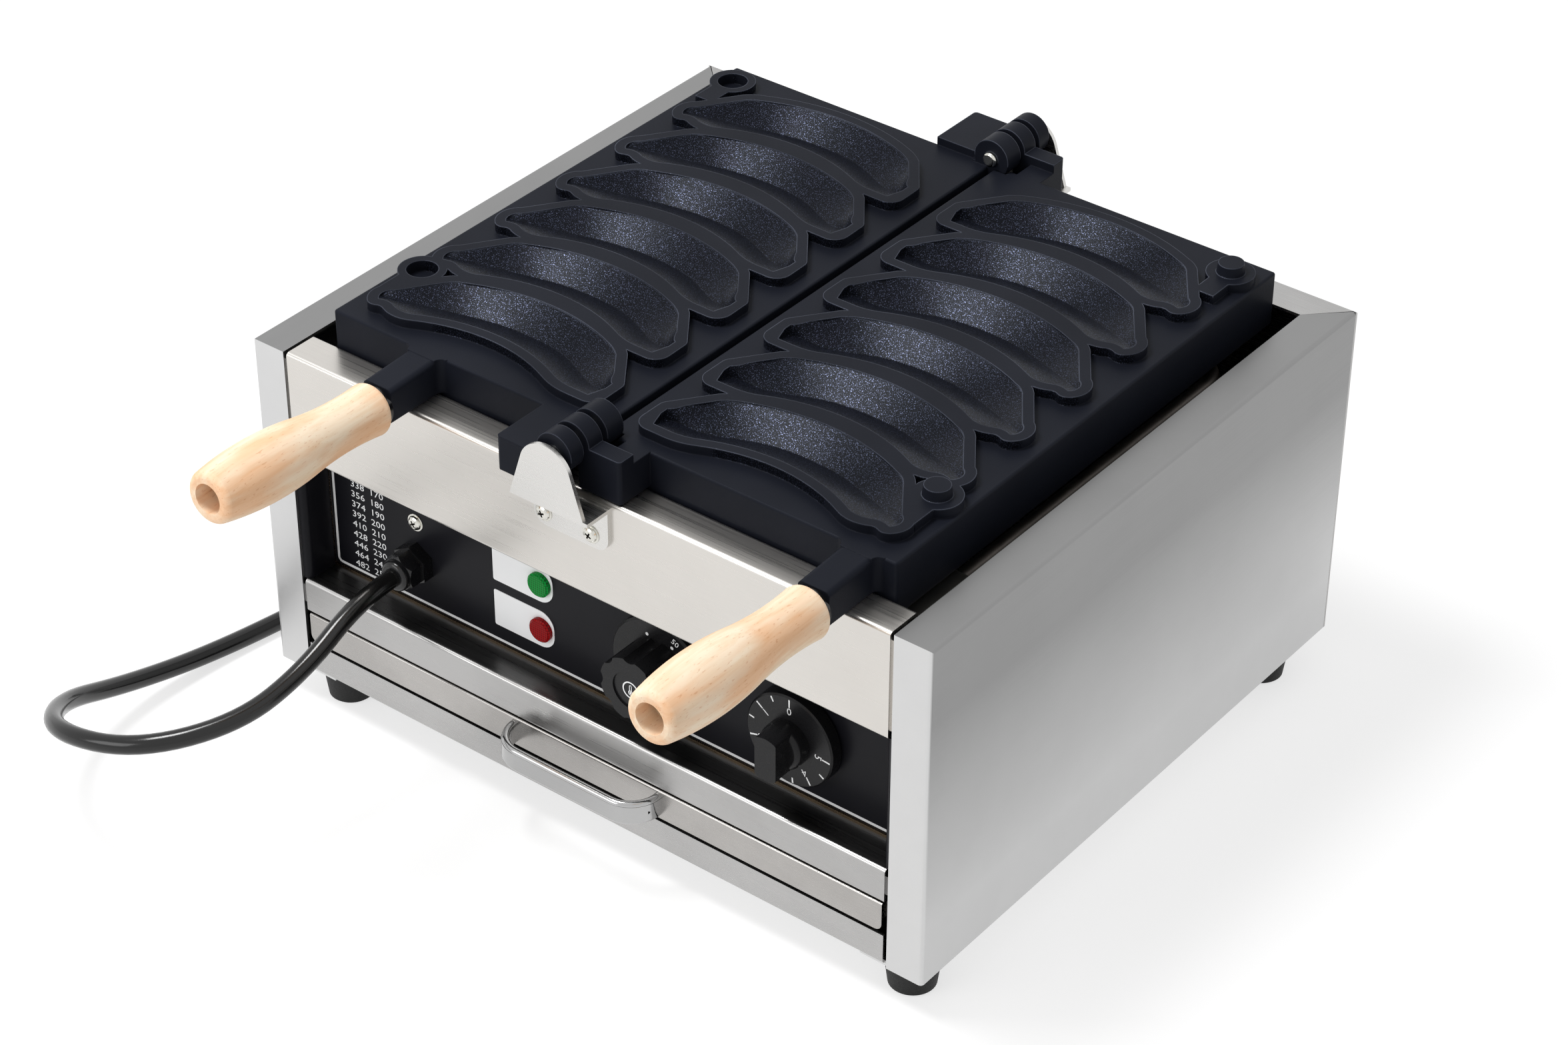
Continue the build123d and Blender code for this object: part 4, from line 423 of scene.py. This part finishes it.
by_slot = {
    "stainless": sheet_steel, "bracket_steel": bracket_steel, "handle_steel": handle_steel,
    "black_panel": panel_black, "inner_sheet": inner_steel, "element_sheath": element_dark,
    "switch_body": switch_grey, "bright_screw": bright, "bright_pin": bright,
    "green_lens": green, "red_lens": red, "black_knob": knob_black, "gland": gland_black,
    "non_stick_casting": cast_black, "black_ferrule": ferrule_black, "beech": wood,
    "foot_rubber": rubber, "cord_jacket": jacket, "tie": gland_black, "plug_body": gland_black,
    "brass_pins": brass,
}
for part in frame["record"]["subparts"]:
    paint(part["node"], by_slot[part["material_slot"]])
for name, material in (
    ("left_side_panel", side_steel), ("right_side_panel", side_steel), ("front_apron", apron_steel),
    ("lower_rail", rail_steel), ("crumb_tray", tray_steel),
):
    paint(name, material)
cord_curve.materials.append(jacket)

# Printed marks and small fasteners, which only the scene has


def solid_piece(name, mesh_data, material, body):
    """Link a finished bmesh as one piece that rides on a body."""
    bmesh.ops.recalc_face_normals(mesh_data, faces=mesh_data.faces)
    mesh = bpy.data.meshes.new(name)
    mesh_data.to_mesh(mesh)
    mesh_data.free()
    mesh.materials.append(material)
    piece = bpy.data.objects.new(name, mesh)
    scene.collection.objects.link(piece)
    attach(piece, body)
    return piece


def add_plate(mesh_data, outline, y, thick):
    """Closed thin plate: an outline of (x, z) points, its front at y, in millimetres."""
    front = [mesh_data.verts.new(at(x, y, z)) for x, z in outline]
    back = [mesh_data.verts.new(at(x, y + thick, z)) for x, z in outline]
    mesh_data.faces.new(front)
    mesh_data.faces.new(back[::-1])
    for index in range(len(outline)):
        after = (index + 1) % len(outline)
        mesh_data.faces.new((front[after], front[index], back[index], back[after]))


def arc(x, z, radius, start, end, steps=8):
    """Points round a centre; angles in degrees, from +X towards +Z."""
    turns = [math.radians(start + (end - start) * step / steps) for step in range(steps + 1)]
    return [(x + radius * math.cos(turn), z + radius * math.sin(turn)) for turn in turns]


def add_ring(mesh_data, x, z, outer, inner, y, thick, steps=40):
    """Closed flat ring as a chain of thin plates."""
    for step in range(steps):
        start, end = 360 * step / steps, 360 * (step + 1) / steps
        add_plate(mesh_data, arc(x, z, outer, start, end, 1) + arc(x, z, inner, end, start, 1), y, thick)


def add_disc(mesh_data, x, z, radius, y, thick):
    """Closed small round plate."""
    add_plate(mesh_data, arc(x, z, radius, 0, 330, 11), y, thick)


def add_text(mesh_data, text, size, x, z, y, turn=0.0, centred=True, wide=1.0):
    """Figures as thin solids with their backs on a plane of constant y.

    turn is clockwise in degrees, and wide stretches the figures along their line.
    """
    curve = bpy.data.curves.new("figures", "FONT")
    curve.body = text
    curve.size = size / 1000
    curve.extrude = INK / 2000
    curve.resolution_u = 2
    if centred:
        curve.align_x = "CENTER"
        curve.align_y = "CENTER"
    holder = bpy.data.objects.new("figures", curve)
    scene.collection.objects.link(holder)
    bpy.context.view_layer.update()
    mesh = bpy.data.meshes.new_from_object(holder.evaluated_get(bpy.context.evaluated_depsgraph_get()))
    bpy.data.objects.remove(holder)
    stand = Matrix.Rotation(math.radians(90), 4, "X")
    spin = Matrix.Rotation(math.radians(turn), 4, "Y")
    stretch = Matrix.Scale(wide, 4, (1, 0, 0))
    mesh.transform(Matrix.Translation(at(x, y + INK / 2, z)) @ spin @ stand @ stretch)
    mesh_data.from_mesh(mesh)
    bpy.data.meshes.remove(mesh)


def mixed_outline(left, right, bottom, top, small, large):
    """Rectangle with small corners on the left and large ones on the right."""
    return (
        arc(right - large, bottom + large, large, -90, 0)
        + arc(right - large, top - large, large, 0, 90)
        + arc(left + small, top - small, small, 90, 180, 4)
        + arc(left + small, bottom + small, small, 180, 270, 4)
    )


# Thickness of print, the panel's face behind the housing's front, and the height of both knobs
INK = 0.06
PANEL = 20.0
AXIS = 110.0

# White plates behind the two lamps
LAMP_HEIGHTS = (123.5, 97.0)
LABEL_LEFT, LABEL_RIGHT = -70.0, -32.4
LABEL_BELOW, LABEL_ABOVE = 10.6, 10.2
LABEL_THICK = 0.25
labels = bmesh.new()
for height in LAMP_HEIGHTS:
    low, high = height - LABEL_BELOW, height + LABEL_ABOVE
    outline = mixed_outline(LABEL_LEFT, LABEL_RIGHT, low, high, small=1.0, large=8.5)
    add_plate(labels, outline, PANEL - LABEL_THICK, LABEL_THICK)
solid_piece("lamp_label_plates", labels, ink, "housing")

# Conversion table of two temperature scales, in steps of ten degrees
TABLE_COLUMNS = (-162.1, -149.6)
TABLE_TOP = 127.3
TABLE_PITCH = 5.92
TABLE_FIGURE = 5.2
marks = bmesh.new()
for row, celsius in enumerate(range(170, 251, 10)):
    height = TABLE_TOP - TABLE_PITCH * row
    for x, degrees in zip(TABLE_COLUMNS, (round(celsius * 1.8 + 32), celsius)):
        add_text(marks, str(degrees), TABLE_FIGURE, x, height, PANEL - INK, centred=False, wide=1.2)
solid_piece("temperature_table", marks, ink, "housing")

# White line round the panel, open at the top, where it runs on behind the apron
EDGE_X = 174.3
EDGE_LOW = 77.0
EDGE_CORNER = 3
LINE = 1.5
HIDDEN_TOP = 150.0
border = bmesh.new()
for side in (-1, 1):
    centre = (side * (EDGE_X - EDGE_CORNER), EDGE_LOW + EDGE_CORNER)
    outer = arc(*centre, EDGE_CORNER, 270, 270 + side * 90, 6)
    inner = arc(*centre, EDGE_CORNER - LINE, 270, 270 + side * 90, 6)
    top = [(side * EDGE_X, HIDDEN_TOP), (side * (EDGE_X - LINE), HIDDEN_TOP)]
    add_plate(border, outer + top + inner[::-1], PANEL - INK, INK)
reach = EDGE_X - EDGE_CORNER
low_line = [(-reach, EDGE_LOW), (reach, EDGE_LOW), (reach, EDGE_LOW + LINE), (-reach, EDGE_LOW + LINE)]
add_plate(border, low_line, PANEL - INK, INK)
solid_piece("panel_border", border, ink, "housing")

# Brown joint between the panel and the recess round it
SEAM_DEEP = 0.9
SEAM_LOW, SEAM_TOP = 75.05, 75.9
SEAM_END = 176.4
SEAM_OUTER, SEAM_INNER = 176.45, 175.7
seam = bmesh.new()
seam_low = [(-SEAM_END, SEAM_LOW), (SEAM_END, SEAM_LOW), (SEAM_END, SEAM_TOP), (-SEAM_END, SEAM_TOP)]
add_plate(seam, seam_low, PANEL - SEAM_DEEP, SEAM_DEEP)
for side in (-1, 1):
    outer, inner = side * SEAM_OUTER, side * SEAM_INNER
    upright = [(outer, SEAM_TOP), (inner, SEAM_TOP), (inner, HIDDEN_TOP), (outer, HIDDEN_TOP)]
    add_plate(seam, upright, PANEL - SEAM_DEEP, SEAM_DEEP)
solid_piece("recess_seam", seam, seam_brown, "housing")

# Dial of the timer, which turns with its knob: a tick every half step, a figure every whole one
TIMER = 114.4
TIMER_FACE = 12.0
HALF_STEP = 26.5
TICK_OUTER = 23.2
TICK_INNER = (18.9, 20.3)
TICK_TURN = math.degrees(0.4 / 22)
TIMER_CIRCLE, TIMER_FIGURE = 16.4, 5.6
dial = bmesh.new()
for half in range(11):
    angle = 90 + HALF_STEP * half
    inner = TICK_INNER[half % 2]
    tick = arc(TIMER, AXIS, TICK_OUTER, angle - TICK_TURN, angle + TICK_TURN, 1)
    tick += arc(TIMER, AXIS, inner, angle + TICK_TURN, angle - TICK_TURN, 1)
    add_plate(dial, tick, TIMER_FACE - INK, INK)
    if half % 2 == 0:
        x, z = arc(TIMER, AXIS, TIMER_CIRCLE, angle, angle, 1)[0]
        add_text(dial, str(half // 2), TIMER_FIGURE, x, z, TIMER_FACE - INK, 90 - angle)
solid_piece("timer_dial_marks", dial, ink, "timer_knob")

# Thermostat knob: dots and figures on its skirt, a thermometer in a ring on its cap
STAT = 34.5
STAT_FACE = 15.5
CAP_FACE = -3.7
FIRST_DOT = 107
DOT_STEP = 45
DOT_CIRCLE, DOT_RADIUS = 19.4, 0.9
STAT_CIRCLE, STAT_FIGURE = 23.3, 4.4
BULB = AXIS - 1.5
STEM_LOW, STEM_TOP = AXIS - 0.3, AXIS + 2.2
STEM_OUTER, STEM_INNER = 0.75, 0.4
skirt = bmesh.new()
for step in range(7):
    angle = FIRST_DOT - DOT_STEP * step
    x, z = arc(STAT, AXIS, DOT_CIRCLE, angle, angle, 1)[0]
    add_disc(skirt, x, z, DOT_RADIUS, STAT_FACE - INK, INK)
    if step:
        x, z = arc(STAT, AXIS, STAT_CIRCLE, angle, angle, 1)[0]
        add_text(skirt, str(50 * step), STAT_FIGURE, x, z, STAT_FACE - INK, 90 - angle)
add_ring(skirt, STAT, AXIS, outer=4.7, inner=4.0, y=CAP_FACE - INK, thick=INK)
add_ring(skirt, STAT, BULB, outer=1.35, inner=0.95, y=CAP_FACE - INK, thick=INK, steps=20)
stem = [(STAT - STEM_OUTER, STEM_LOW), (STAT - STEM_OUTER, STEM_TOP)]
stem += arc(STAT, STEM_TOP, STEM_OUTER, 180, 0, 6)
stem += [(STAT + STEM_OUTER, STEM_LOW), (STAT + STEM_INNER, STEM_LOW)]
stem += arc(STAT, STEM_TOP, STEM_INNER, 0, 180, 6)
stem += [(STAT - STEM_INNER, STEM_LOW)]
add_plate(skirt, stem, CAP_FACE - INK, INK)
add_disc(skirt, STAT, BULB, 0.6, CAP_FACE - INK, INK)
solid_piece("thermostat_marks", skirt, ink, "thermostat_knob")

# Radius and height over the seat, from the middle of the head outwards
SCREW_HEAD = [(0.0, 2.35), (1.6, 2.3), (2.7, 2.05), (3.5, 1.5), (3.85, 0.85), (3.9, 0.55)]
WASHER = [(4.6, 0.55), (4.75, 0.4), (4.75, 0.0), (0.0, 0.0)]
# Angle from an arm's middle and radius: its two outer corners, then the notch before the next arm
CROSS_RADIUS = 2.2
CROSS_ARM = ((-14, CROSS_RADIUS), (14, CROSS_RADIUS), (45, 0.75))
# Heights of the cutter over the seat, and its floor's share of the mouth's size
CROSS_FLOOR, CROSS_MOUTH = 0.9, 3.0
CROSS_TAPER = 0.55


def add_screw(mesh_data, x, seat, z, facing):
    """Pan head on a washer, turned as one solid; facing is -1 where it looks to the front."""
    steps = 32
    rings = []
    for radius, rise in SCREW_HEAD + WASHER:
        y = seat + facing * rise
        if radius == 0.0:
            rings.append([mesh_data.verts.new(at(x, y, z))] * steps)
        else:
            circle = arc(x, z, radius, 0, 360, steps)[:-1]
            rings.append([mesh_data.verts.new(at(px, y, pz)) for px, pz in circle])
    for ring, other in zip(rings, rings[1:]):
        for index in range(steps):
            after = (index + 1) % steps
            corners = [ring[index], ring[after], other[after], other[index]]
            mesh_data.faces.new(list(dict.fromkeys(corners)))


def cross_recess(mesh_data, x, seat, z, facing, turn):
    """Four-armed tapered socket, as a solid to be cut out."""
    arms = []
    for quarter in range(4):
        for offset, radius in CROSS_ARM:
            angle = turn + 90 * quarter + offset
            arms += arc(x, z, radius, angle, angle, 1)[:1]
    small = [(x + (px - x) * CROSS_TAPER, z + (pz - z) * CROSS_TAPER) for px, pz in arms]
    top = [mesh_data.verts.new(at(px, seat + facing * CROSS_MOUTH, pz)) for px, pz in arms]
    low = [mesh_data.verts.new(at(px, seat + facing * CROSS_FLOOR, pz)) for px, pz in small]
    mesh_data.faces.new(top)
    mesh_data.faces.new(low[::-1])
    for index in range(len(arms)):
        after = (index + 1) % len(arms)
        mesh_data.faces.new((top[after], top[index], low[index], low[after]))


def in_recess(face, places):
    """Whether a face of the cut heads is a wall or the floor of a cross recess."""
    x, seat, z, facing, _ = min(places, key=lambda place: (face.center - at(*place[:3])).length)
    rise = (face.center - at(x, seat, z)).y * facing * 1000
    reach = (face.center - at(x, seat + facing * rise, z)).length * 1000
    is_wall = reach < CROSS_RADIUS + 0.05 and rise < 2.0 and abs(face.normal.y) < 0.97
    is_floor = reach < 2.0 and abs(rise - CROSS_FLOOR) < 0.1
    return is_wall or is_floor


def cross_screws(name, places, replaced):
    """Screws with cross recesses in place of the plain ones."""
    heads, sockets = bmesh.new(), bmesh.new()
    for x, seat, z, facing, turn in places:
        add_screw(heads, x, seat, z, facing)
        cross_recess(sockets, x, seat, z, facing, turn)
    piece = solid_piece(name, heads, bright, "housing")
    bmesh.ops.recalc_face_normals(sockets, faces=sockets.faces)
    mesh = bpy.data.meshes.new("sockets")
    sockets.to_mesh(mesh)
    sockets.free()
    cutter = bpy.data.objects.new("sockets", mesh)
    scene.collection.objects.link(cutter)
    cut = piece.modifiers.new("cut", "BOOLEAN")
    cut.operation = "DIFFERENCE"
    cut.solver = "EXACT"
    cut.object = cutter
    bpy.context.view_layer.update()
    result = bpy.data.meshes.new_from_object(piece.evaluated_get(bpy.context.evaluated_depsgraph_get()))
    piece.modifiers.clear()
    piece.data = result
    bpy.data.objects.remove(cutter)
    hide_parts(replaced)
    # Painted shade: the walls and floor of each cross recess take a dark metal
    result.materials.append(painted_recess_shade)
    for face in result.polygons:
        face.material_index = int(in_recess(face, places))


# Depth of the housing, thickness of a bracket, and each screw's x, height and turn of its cross
REAR = 346.5
BRACKET_SHEET = 2.0
BRACKET_SCREWS = [(-16.0, 187.2, 20.0), (12.0, 187.2, 65.0), (-2.0, 194.2, 40.0)]
cross_screws("bracket_cross_screws", [
    (x, seat, z, facing, turn)
    for seat, facing in ((-BRACKET_SHEET, -1), (REAR + BRACKET_SHEET, 1))
    for x, z, turn in BRACKET_SCREWS
], "bracket_screws")
cross_screws("panel_cross_screw", [(-119.4, PANEL, 124.0, -1, 30.0)], "panel_screw")

# Floor, backdrop and light

FAR = 6
floor_mesh = bpy.data.meshes.new("floor")
floor_corners = [(-FAR, -FAR, 0), (FAR, -FAR, 0), (FAR, FAR, 0), (-FAR, FAR, 0)]
floor_mesh.from_pydata(floor_corners, [], [(0, 1, 2, 3)])
floor = bpy.data.objects.new("floor", floor_mesh)
scene.collection.objects.link(floor)


def directly_seen(tree):
    """1 for rays from the camera, from a mirror-like surface or through glass, else 0."""
    light_path = tree.nodes.new("ShaderNodeLightPath")
    total = light_path.outputs["Is Camera Ray"]
    for name in ("Is Glossy Ray", "Is Transmission Ray"):
        total = combined(tree, "ADD", total, light_path.outputs[name], clamp=True)
    return total


# Where the floor is seen it glows to white and keeps its shadow; to all other rays it is plain grey
floor_material = bpy.data.materials.new("floor")
floor_material.use_nodes = True
tree = floor_material.node_tree
tree.nodes.clear()
matt = tree.nodes.new("ShaderNodeBsdfDiffuse")
seen = directly_seen(tree)
tree.links.new(spread(tree, seen, 0.80, 0.42, 0.0, 1.0), matt.inputs["Color"])
glow = tree.nodes.new("ShaderNodeEmission")
tree.links.new(spread(tree, seen, 0.0, 0.66, 0.0, 1.0), glow.inputs["Strength"])
both = tree.nodes.new("ShaderNodeAddShader")
output = tree.nodes.new("ShaderNodeOutputMaterial")
tree.links.new(matt.outputs[0], both.inputs[0])
tree.links.new(glow.outputs[0], both.inputs[1])
tree.links.new(both.outputs[0], output.inputs["Surface"])
floor_mesh.materials.append(floor_material)

world = bpy.data.worlds.new("world")
scene.world = world
world.use_nodes = True
tree = world.node_tree
background = tree.nodes["Background"]
background.inputs["Color"].default_value = (1, 1, 1, 1)
tree.links.new(spread(tree, directly_seen(tree), 0.50, 1.0, 0.0, 1.0), background.inputs["Strength"])


def softbox(name, place, target, size, power):
    """Rectangular lamp aimed at a point."""
    data = bpy.data.lights.new(name, "AREA")
    data.shape = "RECTANGLE"
    data.size, data.size_y = size
    data.energy = power
    lamp = bpy.data.objects.new(name, data)
    lamp.location = place
    lamp.rotation_euler = (Vector(target) - Vector(place)).to_track_quat("-Z", "Y").to_euler()
    scene.collection.objects.link(lamp)


softbox("key", (-0.62, -0.38, 2.0), (0, 0, 0.2), (0.6, 0.6), 26)
softbox("front", (-0.7, -1.7, 0.9), (0, 0, 0.1), (1.2, 0.8), 8.5)

scene.view_settings.view_transform = "Standard"
